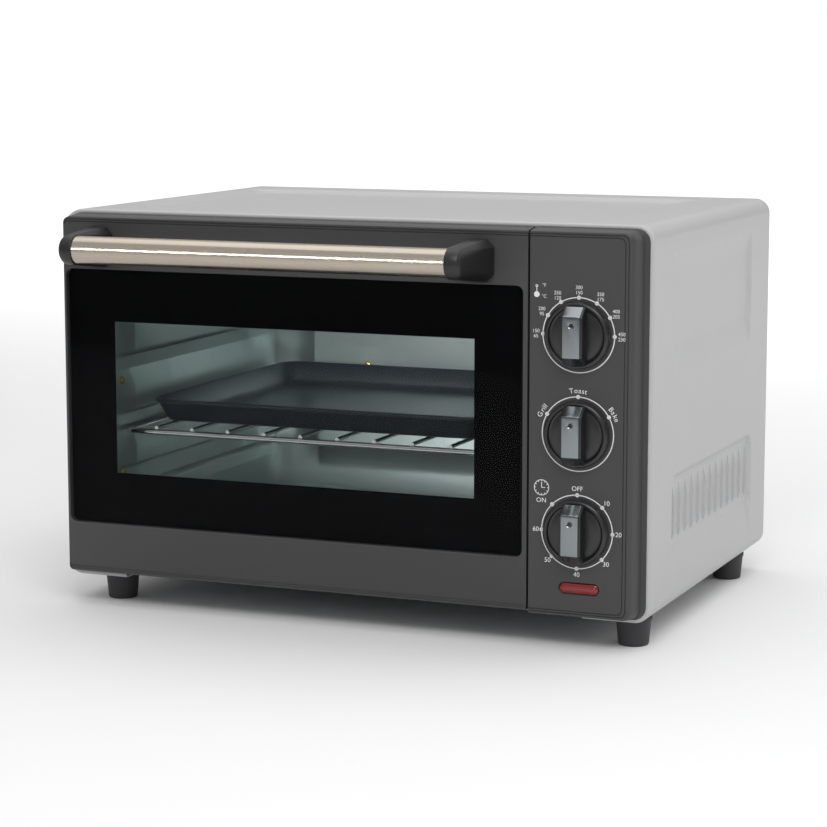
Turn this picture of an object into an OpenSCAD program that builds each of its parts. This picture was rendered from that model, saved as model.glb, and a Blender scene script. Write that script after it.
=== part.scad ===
// Countertop toaster oven: a sheet-steel cabinet with a lined oven cavity, a drop-down glass door with a
// bar handle, a wire rack with a baking tray, and a control compartment with three knobs.
// +X is the user's right, +Y runs from the door to the back, +Z is up, and Z = 0 is the worktop.

/* [Cabinet] */
// Width of the outer shell
body_w = 360; // [340:1:400]
// Height of the outer shell, without the feet
body_h = 216; // [210:1:230]
// Depth of the outer shell, behind the door and the control panel
body_d = 240; // [220:1:280]
// Height of the feet under the shell
foot_h = 16; // [14:0.5:24]
// Outer corner radius of the shell
corner_r = 8; // [6:0.5:12]
// Thickness of the outer sheet steel
sheet_t = 0.8; // [0.6:0.1:1.2]

/* [Front] */
// Depth of the door and the control panel in front of the shell
bezel_d = 12.4; // [12:0.1:16]
// Distance from the shell's right side to the gap between door and control panel
panel_w = 65.8; // [60:1:75]
// Width of the gap between the door and the control panel
split_gap = 1.2; // [0.8:0.1:2]
// Border between the shell's edge and the raised front face
face_inset = 6; // [4:0.5:8]

/* [Door] */
// Widest angle that the door opens to
door_open_angle = 80; // [60:1:82]
// Height of the lower rail below the glass
lower_rail = 29.5; // [25:0.5:35]
// Height of the upper rail above the glass, where the handle sits
upper_rail = 29; // [27:0.5:35]
// Thickness of the glass pane
glass_t = 3; // [2.5:0.5:4]
// Distance from the door's face to the middle of the handle bar
handle_reach = 33; // [28:1:40]
// Diameter of the handle bar
handle_d = 15.8; // [12:0.2:18]
// Length of the steel tube of the handle
handle_len = 226; // [180:1:240]

/* [Controls] */
// Diameter of a knob's base
knob_d = 36.6; // [32:0.2:38]
// Distance from the panel face to the top of a knob
knob_h = 13.2; // [10:0.2:16]
// Height of the timer knob's axis above the worktop
timer_z = 66; // [62:1:70]
// Distance between the axes of neighbouring knobs
knob_pitch = 53.8; // [48:0.2:56]

/* [Cavity] */
// Inner width of the oven cavity between its pressed side walls
cavity_w = 230; // [210:1:235]
// Height of the rack's wires above the worktop
rack_z = 102.4; // [101:0.1:104]

/* [Hidden] */
$fn = 48;
eps = 0.01;

// Outer shell
x_side = body_w / 2;
z_bottom = foot_h;
z_top = foot_h + body_h;
shell_front = bezel_d;
shell_back = bezel_d + body_d;
inner_x = x_side - sheet_t;
inner_r = corner_r - sheet_t;
base_x = x_side - corner_r - 0.5;
bottom_flange = 38;
emboss_depth = 1.5;
emboss_r = 12;
// Each pressed panel is [low along the depth, low height, high along the depth, high height].
side_emboss_upper = [48, 158, 214, 211];
side_emboss_lower = [50, 44, 218, 92];
top_emboss = [-154, 50, 140, 228];
vent_count = 13;
vent_first_y = 58.5;
vent_last_y = 211;
vent_z = [54, 83];
vent_w = 2.6;

// Front faces of the door and the control panel, in X and Z
split_x = x_side - panel_w;
door_right = split_x - split_gap / 2;
panel_left = split_x + split_gap / 2;
face_left = -x_side + face_inset;
face_right = x_side - face_inset;
face_bottom = z_bottom + 4;
face_top = z_top - 4;
rim_inset = 1.2;
rim_y = 7;
face_corner_r = 4;

// Door hinge: the axis runs along X, and the door's lower rear edge is round about it.
hinge_y = 7;
hinge_r = 5.2;
hinge_z = face_bottom + hinge_r;
pin_r = 2.4;
running_gap = 0.05;
door_back = 10.4;
ear_t = 1.8;
ear_r = 4.4;
ear_x = [-x_side + 15, door_right - 13.4];
ear_notch_gap = 1.6;
arm_r = [42, 48];
arm_t = 1.5;
arm_front = 5.5;
arm_x = [-x_side + 9, door_right - 7.4];
arm_tail_angle = -2;
spring_front_y = hinge_y + arm_r[1] + 2;
spring_len = 120;
spring_end_y = spring_front_y + spring_len + 8;

// Door glass
glass_left = face_left + 2;
glass_right = door_right - 2.8;
glass_bottom = face_bottom + lower_rail;
glass_top = face_top - upper_rail;
glass_y = 0.4;
mask_t = 0.2;
ledge_y = glass_y + glass_t + mask_t;
window = [-142.2, 79.6, 81.4, 168.5];
ledge_opening = [-160, 62, 100, 187];
inner_screw_at = [[-154, 45], [94, 45], [-154, 202], [94, 202]];

// Handle, centred on the door
handle_x = (face_left + door_right) / 2 - 2;
handle_z = 213;
handle_r = handle_d / 2;
cap_r = handle_r + 0.9;
cap_len = 9;
mount_w = 17.6;
mount_h = 22.8;
mount_chamfer = 4;
mount_z = 212.2;
mount_x = handle_len / 2 + 4.6;

// Controls
knob_x = 142.7;
knob_r = knob_d / 2;
knob_z = [timer_z + 2 * knob_pitch, timer_z + knob_pitch, timer_z];
knob_gap = 0.6;
grip_w = 12.2;
grip_run = 5.2;
grip_drop = 6.4;
inlay_w = 9.7;
inlay_half = 16;
inlay_t = 0.9;
inlay_low = knob_h - grip_drop - 0.4;
shaft_r = 3;
shaft_front = -9;
panel_wall = 2.5;
bracket_y = 14.6;
bracket_t = 1;
shield_x = split_x - 2.5;
collar_r = 4.9;
lamp_x = 144;
lamp_z = 34.4;
lamp_w = 22.8;
lamp_h = 6.2;

// Oven cavity
cavity_x = -30;
press_d = 4;
liner_t = 0.8;
wall_left = cavity_x - cavity_w / 2 - press_d;
wall_right = cavity_x + cavity_w / 2 + press_d;
cavity_front = 14;
cavity_back = 236;
cavity_bottom = 36;
cavity_top = 212;
press_y = [28, 228];
// Each pressed ledge of the side walls, from low to high, leaves a channel for the rack above it.
press_z = [[54, 68], [78.5, 100.5], [111, 135], [145, 185]];
press_r = 5;
back_press = [-124, 60, 64, 196];
back_press_d = 6;
back_boss = [-89.5, 108, -70, 127];

// Heating rods, as [Y, Z], and how they sit in the side walls
heater_r = 3.6;
heater_hole_r = 4.4;
heaters = [[85, 197], [165, 197], [62, 46], [128, 46]];
heater_over = 9;

// Wire rack and tray
wire_r = 1.7;
bar_r = 1.2;
rack_left = wall_left + 3.5;
rack_right = wall_right - 3.5;
rack_front = 20;
rack_back = 226;
rack_bar_pitch = 23.2;
rack_bar_count = 9;
rack_cross_y = [90, 160];
tray_lo = [-136.5, 30];
tray_hi = [76.5, 224];
tray_z = 106.4;
tray_h = 14;
tray_taper = 5;
tray_t = 0.8;
tray_r = 14;

// Feet, as [X, Y]
foot_r_top = 10.3;
foot_r_bottom = 8.6;
foot_left_x = -153;
foot_right_x = 167;
foot_front_y = 27.5;
foot_rear_y = 218;
foot_bore_r = 1.8;
foot_recess_r = 4.6;
foot_recess_d = 9;

// Back of the cabinet
spacer_h = 9;
spacer_r = 8;
spacer_x = 120;
spacer_z = 150;
gland_x = 150;
gland_z = 50;
gland_bore_r = 3.75;
gland_barrel_r = 6.9;
rear_panel_y = shell_back - 2;
rear_screw_at = [[-172, 92], [172, 92], [-172, 205], [172, 205]];
rear_screw_r = 3.2;
rear_screw_shank_r = 1.5;
tab_t = 1;

// The origin is under the middle of the whole oven, so the front face lies at this Y.
total_front = handle_reach + cap_r;
total_back = shell_back + spacer_h;
face_y = (total_front - total_back) / 2;

// A flat shape in X and Z, made into a plate from y to y + t
module plate_y(y, t) {
    translate([0, y + t, 0]) rotate([90, 0, 0]) linear_extrude(t) children();
}

// A flat shape in Y and Z, made into a plate from x to x + t
module plate_x(x, t) {
    translate([x, 0, 0]) rotate([90, 0, 90]) linear_extrude(t) children();
}

// A flat shape in X and Y, made into a plate from z to z + t
module plate_z(z, t) {
    translate([0, 0, z]) linear_extrude(t) children();
}

// A cylinder along Y from y to y + t
module rod_y(x, y, z, r, t) {
    translate([x, y + t, z]) rotate([90, 0, 0]) cylinder(r = r, h = t);
}

// A cylinder along X from x to x + t
module rod_x(x, y, z, r, t) {
    translate([x, y, z]) rotate([0, 90, 0]) cylinder(r = r, h = t);
}

module rounded(lo, hi, r) {
    translate([lo.x + r, lo.y]) square([hi.x - lo.x - 2 * r, hi.y - lo.y]);
    translate([lo.x, lo.y + r]) square([hi.x - lo.x, hi.y - lo.y - 2 * r]);
    for (x = [lo.x + r, hi.x - r], y = [lo.y + r, hi.y - r]) translate([x, y]) circle(r);
}

// A rounded rectangle given as [low, low, high, high], made larger by grow
module rounded_box(b, r, grow = 0) {
    rounded([b[0] - grow, b[1] - grow], [b[2] + grow, b[3] + grow], r + grow);
}

module slot(lo, hi) {
    w = min(hi.x - lo.x, hi.y - lo.y);
    rounded(lo, hi, w / 2 - eps);
}

// ---- Cabinet -------------------------------------------------------------------------------------

module shell_tube() {
    plate_y(shell_front, body_d) difference() {
        rounded([-x_side, z_bottom], [x_side, z_top], corner_r);
        rounded([-inner_x, z_bottom + sheet_t], [inner_x, z_top - sheet_t], inner_r);
        translate([-x_side + bottom_flange, z_bottom - 1]) square([body_w - 2 * bottom_flange, 3]);
    }
}

module side_pans() {
    for (side = [-1, 1], b = [side_emboss_upper, side_emboss_lower])
        plate_x(side * (x_side - emboss_depth / 2 - sheet_t / 2) - (emboss_depth + sheet_t) / 2,
                emboss_depth + sheet_t)
            rounded_box(b, emboss_r);
}

module side_pockets() {
    for (side = [-1, 1], b = [side_emboss_upper, side_emboss_lower])
        plate_x(side * (x_side - emboss_depth / 2 + 1) - emboss_depth / 2 - 1, emboss_depth + 2)
            rounded_box(b, emboss_r, -sheet_t);
}

module rear_tabs() {
    for (p = rear_screw_at)
        plate_y(rear_panel_y - tab_t, tab_t) translate([p.x > 0 ? p.x - 8 : -x_side + sheet_t / 2, p.y - 8])
            square([x_side - sheet_t / 2 - abs(p.x) + 8, 16]);
}

module foot_positions() {
    for (x = [foot_left_x, foot_right_x], y = [foot_front_y, foot_rear_y]) translate([x, y, 0]) children();
}

module vent_slots() {
    step = (vent_last_y - vent_first_y) / (vent_count - 1);
    plate_x(x_side - 5, 6) for (i = [0 : vent_count - 1]) {
        y = vent_first_y + i * step;
        slot([y - vent_w / 2, vent_z[0]], [y + vent_w / 2, vent_z[1]]);
    }
}

module outer_shell() {
    color([0.72, 0.72, 0.72]) difference() {
        union() {
            shell_tube();
            side_pans();
            plate_z(z_top - emboss_depth - sheet_t, emboss_depth + sheet_t) rounded_box(top_emboss, emboss_r);
            rear_tabs();
        }
        side_pockets();
        plate_z(z_top - emboss_depth, emboss_depth + 1) rounded_box(top_emboss, emboss_r, -sheet_t);
        vent_slots();
        foot_positions() translate([0, 0, z_bottom - 1]) cylinder(r = foot_bore_r, h = 3);
        for (p = rear_screw_at) rod_y(p.x, rear_panel_y - 3, p.y, rear_screw_shank_r, 4);
    }
}

module base_plate() {
    floor_slots = 9;
    color([0.62, 0.63, 0.64]) difference() {
        union() {
            plate_z(z_bottom + sheet_t, sheet_t)
                rounded([-base_x, shell_front + 2], [base_x, rear_panel_y - 1], 3);
            for (x = arm_x)
                translate([x + arm_t / 2 - 4, spring_end_y, z_bottom + sheet_t]) cube([8, 1, hinge_z - z_bottom + 3]);
        }
        foot_positions() translate([0, 0, z_bottom]) cylinder(r = foot_bore_r, h = 5);
        plate_z(z_bottom, 5) for (i = [0 : floor_slots - 1])
            slot([-70 + i * 9, 60], [-66 + i * 9, 110]);
        plate_z(z_bottom, 5) for (i = [0 : 3]) slot([118 + i * 6, 70], [121 + i * 6, 130]);
    }
}

module rear_panel() {
    color([0.7, 0.7, 0.71]) difference() {
        plate_y(rear_panel_y, sheet_t)
            rounded([-inner_x + 0.2, z_bottom + sheet_t + 0.2], [inner_x - 0.2, z_top - sheet_t - 0.2],
                    inner_r - 0.2);
        for (row = [0, 1], i = [0 : 8])
            plate_y(rear_panel_y - 1, 3) slot([108 + i * 6.4, 150 + row * 30], [111 + i * 6.4, 174 + row * 30]);
        for (i = [0 : 11])
            plate_y(rear_panel_y - 1, 3) slot([-96 + i * 12, 40], [-88 + i * 12, 43]);
        rod_y(gland_x, rear_panel_y - 1, gland_z, gland_barrel_r + 0.1, 3);
        for (p = rear_screw_at) rod_y(p.x, rear_panel_y - 1, p.y, 1.6, 3);
        for (side = [-1, 1]) rod_y(side * spacer_x, rear_panel_y - 1, spacer_z, 2.1, 3);
    }
}

module front_frame() {
    ear_lo = hinge_z - ear_r;
    frame_y = shell_front + 0.4;
    color([0.16, 0.16, 0.17]) difference() {
        union() {
            plate_y(frame_y, 1) rounded([-inner_x + 0.4, face_bottom], [split_x + 1, z_top - 1.4], corner_r);
            for (x = ear_x) {
                plate_x(x, ear_t) translate([hinge_y, ear_lo]) square([frame_y + 1 - hinge_y, 2 * ear_r]);
                rod_x(x, hinge_y, hinge_z, ear_r, ear_t);
            }
        }
        plate_y(frame_y - 1, 3) rounded([wall_left + 0.8, 42], [wall_right - 0.8, 206], 4);
        for (x = ear_x) rod_x(x - 1, hinge_y, hinge_z, pin_r + running_gap, ear_t + 2);
        for (x = arm_x) plate_y(frame_y - 1, 3) translate([x - 0.6, 63]) square([arm_t + 1.2, 14]);
    }
}

module panel_outline(grow, left) {
    difference() {
        rounded([left - 20, face_bottom - grow], [face_right + grow, face_top + grow * 0.6],
                face_corner_r + grow);
        translate([left - 60, 0]) square([60, z_top + 20]);
    }
}

module control_panel() {
    rim = face_inset - rim_inset;
    color([0.23, 0.23, 0.24]) difference() {
        union() {
            plate_y(0, rim_y) panel_outline(0, panel_left);
            plate_y(rim_y, bezel_d - rim_y) panel_outline(1, panel_left);
            plate_y(10, bezel_d - 10)
                rounded([panel_left, z_bottom + rim_inset], [face_right + rim, z_top - rim_inset], 5);
        }
        plate_y(panel_wall, bezel_d)
            rounded([panel_left + 2, face_bottom + 2], [face_right - 2, face_top - 2], 3);
        for (z = knob_z) rod_y(knob_x, -1, z, 5, 5);
        plate_y(-1, 5) slot([lamp_x - lamp_w / 2, lamp_z - lamp_h / 2], [lamp_x + lamp_w / 2, lamp_z + lamp_h / 2]);
    }
}

module control_bracket() {
    color([0.66, 0.67, 0.68]) difference() {
        union() {
            plate_y(bracket_y, bracket_t) rounded([shield_x + sheet_t, 26], [176, 222], 2);
            plate_x(shield_x + sheet_t, 1) translate([bracket_y, 28]) square([30, 192]);
        }
        for (z = knob_z) rod_y(knob_x, bracket_y - 1, z, collar_r + 0.1, 4);
        plate_y(bracket_y - 1, 3) rounded([lamp_x - 13, lamp_z - 5], [lamp_x + 13, lamp_z + 5], 1);
    }
}

module heat_shield() {
    color([0.66, 0.67, 0.68]) difference() {
        plate_x(shield_x, sheet_t) translate([shell_front + 2, z_bottom + 2 * sheet_t])
            square([rear_panel_y - shell_front - 3, body_h - 3 * sheet_t - 2]);
        for (i = [0 : 7]) plate_x(shield_x - 1, 3) slot([50 + i * 20, 205], [62 + i * 20, 209]);
        for (h = heaters) rod_x(shield_x - 1, h[0], h[1], 3, 3);
    }
}

// One side wall of the cavity: face is the X of its sheet, and inward is +1 or -1.
module side_wall(face, inward) {
    pad_x = inward > 0 ? face : face - press_d;
    pocket_x = inward > 0 ? face - liner_t - 1 : face - press_d + liner_t;
    sheet_x = inward > 0 ? face - liner_t : face;
    color([0.55, 0.57, 0.57]) difference() {
        union() {
            plate_x(sheet_x, liner_t) translate([cavity_front, cavity_bottom])
                square([cavity_back - cavity_front, cavity_top - cavity_bottom]);
            for (z = press_z) plate_x(pad_x, press_d) rounded([press_y[0], z[0]], [press_y[1], z[1]], press_r);
        }
        for (z = press_z)
            plate_x(pocket_x, press_d + 1)
                rounded([press_y[0] + liner_t, z[0] + liner_t], [press_y[1] - liner_t, z[1] - liner_t],
                        press_r - liner_t);
        for (h = heaters) rod_x(face - 10, h[0], h[1], heater_hole_r, 20);
    }
}

module cavity_left_wall() {
    side_wall(wall_left, 1);
}

module cavity_right_wall() {
    side_wall(wall_right, -1);
}

module cavity_back_wall() {
    color([0.55, 0.57, 0.57]) difference() {
        union() {
            plate_y(cavity_back, liner_t) translate([wall_left - liner_t, cavity_bottom])
                square([wall_right - wall_left + 2 * liner_t, cavity_top - cavity_bottom]);
            plate_y(cavity_back - back_press_d, back_press_d) rounded_box(back_press, 14);
            plate_y(cavity_back - back_press_d - 1.2, 1.2) rounded_box(back_boss, 7);
        }
        plate_y(cavity_back - back_press_d + liner_t, back_press_d + 1) rounded_box(back_press, 14, -liner_t);
    }
}

module cavity_roof() {
    color([0.55, 0.57, 0.57]) plate_z(cavity_top, liner_t)
        translate([wall_left - liner_t, cavity_front])
            square([wall_right - wall_left + 2 * liner_t, cavity_back + liner_t - cavity_front]);
}

module cavity_floor() {
    color([0.5, 0.52, 0.52]) plate_z(cavity_bottom - liner_t, liner_t)
        translate([wall_left - liner_t, cavity_front])
            square([wall_right - wall_left + 2 * liner_t, cavity_back + liner_t - cavity_front]);
}

// ---- Heating ----------------------------------------------------------------------------------------

module heater(place) {
    left = wall_left - liner_t - heater_over;
    right = wall_right + liner_t + heater_over;
    color([0.45, 0.44, 0.43]) {
        rod_x(left, place[0], place[1], heater_r, right - left);
        rod_x(left - 3, place[0], place[1], 1.5, 3);
        rod_x(right, place[0], place[1], 1.5, 3);
    }
}

module heater_insulators() {
    t = 6;
    color([0.92, 0.9, 0.85])
        for (h = heaters, x = [wall_left - liner_t - t, wall_right + liner_t]) difference() {
            rod_x(x, h[0], h[1], 6.5, t);
            rod_x(x - 1, h[0], h[1], heater_r + 0.05, t + 2);
        }
}

// ---- Controls ---------------------------------------------------------------------------------------

module collar(z) {
    rod_y(knob_x, bracket_y - 2, z, collar_r, 3.2);
}

module shaft_bore(z) {
    rod_y(knob_x, bracket_y - 3, z, shaft_r + running_gap, 16);
}

module thermostat_body() {
    color([0.8, 0.79, 0.75]) difference() {
        union() {
            collar(knob_z[0]);
            plate_y(bracket_y + bracket_t, 14) rounded([knob_x - 17, knob_z[0] - 15], [knob_x + 17, knob_z[0] + 15], 4);
        }
        shaft_bore(knob_z[0]);
    }
}

module thermostat_bulb() {
    bulb_x = wall_right - press_d - 5;
    color([0.72, 0.5, 0.35]) {
        rod_y(bulb_x, 70, 203, 1.8, 90);
        for (y = [85, 140]) translate([bulb_x - 2.4, y, 201.2]) difference() {
            cube([wall_right - bulb_x + 2.4, 5, 3.6]);
            translate([2.4, -1, 1.8]) rotate([-90, 0, 0]) cylinder(r = 1.8, h = 7);
        }
    }
}

module selector_switch() {
    color([0.85, 0.83, 0.78]) difference() {
        union() {
            collar(knob_z[1]);
            plate_y(bracket_y + bracket_t, 22) rounded([knob_x - 15, knob_z[1] - 17], [knob_x + 15, knob_z[1] + 17], 3);
            for (x = [-9, 0, 9], z = [-10, 10])
                plate_y(bracket_y + bracket_t + 22, 6)
                    translate([knob_x + x - 2.4, knob_z[1] + z - 0.4]) square([4.8, 0.8]);
        }
        shaft_bore(knob_z[1]);
    }
}

module timer_movement() {
    z = knob_z[2];
    color([0.75, 0.76, 0.77]) difference() {
        union() {
            collar(z);
            plate_y(bracket_y + bracket_t, 1) rounded([knob_x - 21, z - 19], [knob_x + 21, z + 19], 3);
            plate_y(bracket_y + bracket_t + 1, 18) rounded([knob_x - 19, z - 17], [knob_x + 19, z + 17], 2);
        }
        shaft_bore(z);
    }
}

module timer_bell() {
    y = bracket_y + bracket_t + 19;
    color([0.7, 0.7, 0.72]) {
        rod_y(knob_x, y, timer_z, 2, 5);
        difference() {
            rod_y(knob_x, y + 1, timer_z, 17, 7);
            rod_y(knob_x, y, timer_z, 16, 7);
        }
        rod_y(knob_x, y + 7, timer_z, 3.5, 2);
    }
}

module lamp_lens() {
    color([0.5, 0.06, 0.07]) {
        plate_y(-1, 5) slot([lamp_x - lamp_w / 2 + 0.1, lamp_z - lamp_h / 2 + 0.1],
                            [lamp_x + lamp_w / 2 - 0.1, lamp_z + lamp_h / 2 - 0.1]);
        plate_y(panel_wall, 1.5) slot([lamp_x - lamp_w / 2 - 1, lamp_z - lamp_h / 2 - 1],
                                     [lamp_x + lamp_w / 2 + 1, lamp_z + lamp_h / 2 + 1]);
    }
}

module lamp_holder() {
    color([0.9, 0.9, 0.88]) plate_y(4, 16)
        rounded([lamp_x - 10, lamp_z - 3.4], [lamp_x + 10, lamp_z + 3.4], 1);
}

// The side outline of a knob's grip in Z and Y: flat on top, with a slope down at each end
module grip_outline(half, height, low) {
    polygon([[-half, low], [-half, height - grip_drop], [grip_run - half, height], [half - grip_run, height],
             [half, height - grip_drop], [half, low]]);
}

// A grip's side outline, made into a bar of width w across a knob
module grip_bar(z, w, half, height, low = 2) {
    translate([knob_x - w / 2, 0, z]) rotate([180, -90, 0]) linear_extrude(w) grip_outline(half, height, low);
}

module control_knob(i) {
    z = knob_z[i];
    base_t = 4.2;
    color([0.1, 0.1, 0.11]) difference() {
        union() {
            rod_y(knob_x, -knob_gap - base_t, z, knob_r, base_t);
            difference() {
                rod_y(knob_x, -knob_gap - base_t - 2.2, z, knob_r - 2.4, base_t);
                rod_y(knob_x, -knob_gap - base_t - 3, z, knob_r - 4.2, 3);
            }
            intersection() {
                rod_y(knob_x, -knob_h, z, knob_r - 0.4, knob_h - knob_gap);
                grip_bar(z, grip_w, inlay_half + 0.6, knob_h - inlay_t + 0.6);
            }
        }
        rod_y(knob_x, shaft_front - 0.2, z, shaft_r + 0.05, 20);
        difference() {
            grip_bar(z, inlay_w + 0.2, inlay_half + 5, knob_h + 5, inlay_low);
            grip_bar(z, inlay_w + 0.4, inlay_half - inlay_t, knob_h - inlay_t);
        }
    }
}

module knob_inlay(i) {
    z = knob_z[i];
    color([0.75, 0.74, 0.72])
        difference() {
            grip_bar(z, inlay_w, inlay_half, knob_h, inlay_low);
            grip_bar(z, inlay_w + 1, inlay_half - inlay_t, knob_h - inlay_t);
        }
}

module control_shaft(i, back) {
    color([0.8, 0.8, 0.8]) rod_y(knob_x, shaft_front, knob_z[i], shaft_r, back - shaft_front);
}

// ---- Feet, screws and back --------------------------------------------------------------------------

module foot(x, y) {
    color([0.13, 0.13, 0.14]) translate([x, y, 0]) difference() {
        cylinder(r1 = foot_r_bottom, r2 = foot_r_top, h = z_bottom);
        translate([0, 0, -1]) cylinder(r = foot_recess_r, h = foot_recess_d + 1);
        cylinder(r = foot_bore_r, h = 30);
    }
}

module foot_screws() {
    color([0.75, 0.75, 0.76])
        foot_positions() {
            translate([0, 0, foot_recess_d - 2]) cylinder(r = 3.6, h = 2);
            translate([0, 0, foot_recess_d]) cylinder(r = foot_bore_r - 0.1, h = z_bottom - foot_recess_d + 5);
        }
}

module rear_screws() {
    color([0.7, 0.7, 0.7]) for (p = rear_screw_at) {
        rod_y(p.x, rear_panel_y + sheet_t, p.y, rear_screw_r, 2);
        rod_y(p.x, rear_panel_y - 6, p.y, rear_screw_shank_r, 6 + sheet_t);
    }
}

module rear_spacers() {
    color([0.13, 0.13, 0.14]) for (side = [-1, 1]) {
        rod_y(side * spacer_x, rear_panel_y + sheet_t, spacer_z, spacer_r, total_back - rear_panel_y - sheet_t);
        rod_y(side * spacer_x, rear_panel_y - 3, spacer_z, 2, 3 + sheet_t);
    }
}

module cord_gland() {
    color([0.1, 0.1, 0.11]) difference() {
        union() {
            rod_y(gland_x, rear_panel_y + sheet_t, gland_z, 9.5, 3.5);
            rod_y(gland_x, rear_panel_y - 5, gland_z, gland_barrel_r, 7);
            rod_y(gland_x, rear_panel_y - 5, gland_z, 8.4, 4);
        }
        rod_y(gland_x, rear_panel_y - 8, gland_z, gland_bore_r, 20);
    }
}

module terminal_block() {
    color([0.92, 0.9, 0.85]) difference() {
        translate([120, 205, z_bottom + 2 * sheet_t]) cube([34, 18, 16]);
        for (i = [0 : 2]) translate([126.5 + i * 10.5, 214, z_bottom + 10]) cylinder(r = 2.4, h = 20);
    }
}

module cavity_screws() {
    color([0.72, 0.66, 0.45]) {
        for (z = [76, 131.4]) {
            rod_x(wall_left, 22.9, z, 2.5, 1.4);
            rod_x(wall_right - 1.4, 22.9, z, 2.5, 1.4);
        }
        rod_y(-80, cavity_back - back_press_d - 2.8, 119, 2.6, 1.6);
    }
}

// ---- Door ------------------------------------------------------------------------------------------

// The door's cross-section in Y and Z: round about the hinge axis at its lower rear edge
module door_section(back) {
    difference() {
        union() {
            translate([0, face_bottom]) square([hinge_y, hinge_r]);
            translate([hinge_y, hinge_z]) circle(hinge_r);
            translate([0, hinge_z]) square([back, face_top - hinge_z]);
        }
        translate([back, 0]) square([20, z_top]);
    }
}

module door_frame() {
    color([0.22, 0.22, 0.23]) difference() {
        union() {
            plate_x(face_left, door_right - face_left) door_section(door_back);
            plate_y(rim_y, door_back - rim_y)
                rounded([face_left - 3, hinge_z + 6], [door_right, z_top - 2.4], 4);
        }
        plate_y(-1, ledge_y + 1) rounded([glass_left, glass_bottom], [glass_right, glass_top], 4);
        plate_y(-1, 20) rounded_box(ledge_opening, 4);
        plate_y(3, 20) rounded([face_left + 4, glass_top + 6], [door_right - 4, face_top - 3], 2);
        plate_y(3, 20) rounded([ear_x[0] + ear_t + 14, hinge_z + 7], [ear_x[1] - 14, glass_bottom - 3], 2);
        for (x = ear_x)
            translate([x - ear_notch_gap, 2.2, face_bottom - 1])
                cube([ear_t + 2 * ear_notch_gap, 20, hinge_z + hinge_r + 1 - face_bottom]);
        for (x = ear_x) rod_x(x - 8, hinge_y, hinge_z, pin_r, ear_t + 16);
        for (x = arm_x) translate([x - 0.1, arm_front, 58]) cube([arm_t + 0.2, 20, 24]);
        for (side = [-1, 1]) rod_y(handle_x + side * mount_x, -1, mount_z, 2.2, 8);
    }
}

module door_glass() {
    color([0.3, 0.35, 0.36, 0.4]) plate_y(glass_y, glass_t)
        rounded([glass_left + 0.1, glass_bottom + 0.1], [glass_right - 0.1, glass_top - 0.1], 3.9);
}

module door_glass_mask() {
    color([0.03, 0.03, 0.03]) plate_y(glass_y + glass_t, mask_t) difference() {
        rounded([glass_left + 0.1, glass_bottom + 0.1], [glass_right - 0.1, glass_top - 0.1], 3.9);
        translate([window[0], window[1]]) square([window[2] - window[0], window[3] - window[1]]);
    }
}

module door_inner_frame() {
    color([0.12, 0.12, 0.13]) difference() {
        plate_y(door_back, 1) rounded([-158, 36], [98, face_top - 1], 3);
        plate_y(door_back - 1, 3) rounded([-150, 70], [90, 179], 6);
        for (p = inner_screw_at) rod_y(p.x, door_back - 1, p.y, 1.5, 3);
    }
}

module door_inner_screws() {
    color([0.7, 0.7, 0.7]) for (p = inner_screw_at) {
        rod_y(p.x, door_back - 3, p.y, 1.4, 4);
        rod_y(p.x, door_back + 1, p.y, 2.6, 0.8);
    }
}

module handle_bar() {
    color([0.72, 0.7, 0.66]) difference() {
        rod_x(handle_x - handle_len / 2, -handle_reach, handle_z, handle_r, handle_len);
        rod_x(handle_x - handle_len / 2 - 1, -handle_reach, handle_z, handle_r - 0.8, handle_len + 2);
    }
}

module mount_outline() {
    w = mount_w / 2;
    h = mount_h / 2;
    c = mount_chamfer;
    polygon([[-w, -h + c], [-w + c, -h], [w - c, -h], [w, -h + c], [w, h - c], [w - c, h], [-w + c, h], [-w, h - c]]);
}

// A handle mount: an eight-sided foot on the door that runs out into a round cap at the end of the bar
module handle_mount(side) {
    x = handle_x + side * mount_x;
    cap_x = side > 0 ? handle_x + handle_len / 2 : handle_x - handle_len / 2 - cap_len;
    color([0.1, 0.1, 0.11]) difference() {
        hull() {
            translate([x, 0, mount_z]) rotate([90, 0, 0]) linear_extrude(3) mount_outline();
            rod_x(cap_x, -handle_reach, handle_z, cap_r, cap_len, $fn = 32);
        }
        rod_y(x, -16, mount_z, 1.8, 17);
        rod_x(handle_x - handle_len / 2, -handle_reach, handle_z, handle_r + running_gap, handle_len);
    }
}

module handle_screws() {
    color([0.7, 0.7, 0.7]) for (side = [-1, 1]) {
        x = handle_x + side * mount_x;
        rod_y(x, -15, mount_z, 1.7, 18);
        rod_y(x, 3, mount_z, 3.6, 2);
    }
}

module hinge_pins() {
    color([0.75, 0.75, 0.76]) for (x = ear_x) rod_x(x - 8, hinge_y, hinge_z, pin_r, ear_t + 16);
}

// A flat steel arm, bent to an arc about the hinge axis, that goes through a slot in the front frame
module door_arm(x) {
    mean = (arm_r[0] + arm_r[1]) / 2;
    tail = [hinge_y + mean * cos(arm_tail_angle), hinge_z + mean * sin(arm_tail_angle)];
    color([0.68, 0.69, 0.7]) plate_x(x, arm_t) difference() {
        intersection() {
            translate([hinge_y, hinge_z]) difference() {
                circle(arm_r[1]);
                circle(arm_r[0]);
            }
            union() {
                translate([arm_front, hinge_z]) square([60, 60]);
                translate([hinge_y, hinge_z - 4]) square([60, 6]);
            }
        }
        translate(tail) circle(1.4);
    }
}

// An extension spring between an arm's tail and the back of the cabinet, as its outer cylinder
module door_spring(x) {
    color([0.7, 0.7, 0.72]) {
        rod_y(x, spring_front_y, hinge_z - 1, 3, spring_len);
        rod_y(x, spring_front_y + spring_len, hinge_z - 1, 0.6, spring_end_y - spring_front_y - spring_len);
    }
}

// ---- Rack and tray --------------------------------------------------------------------------------

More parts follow.
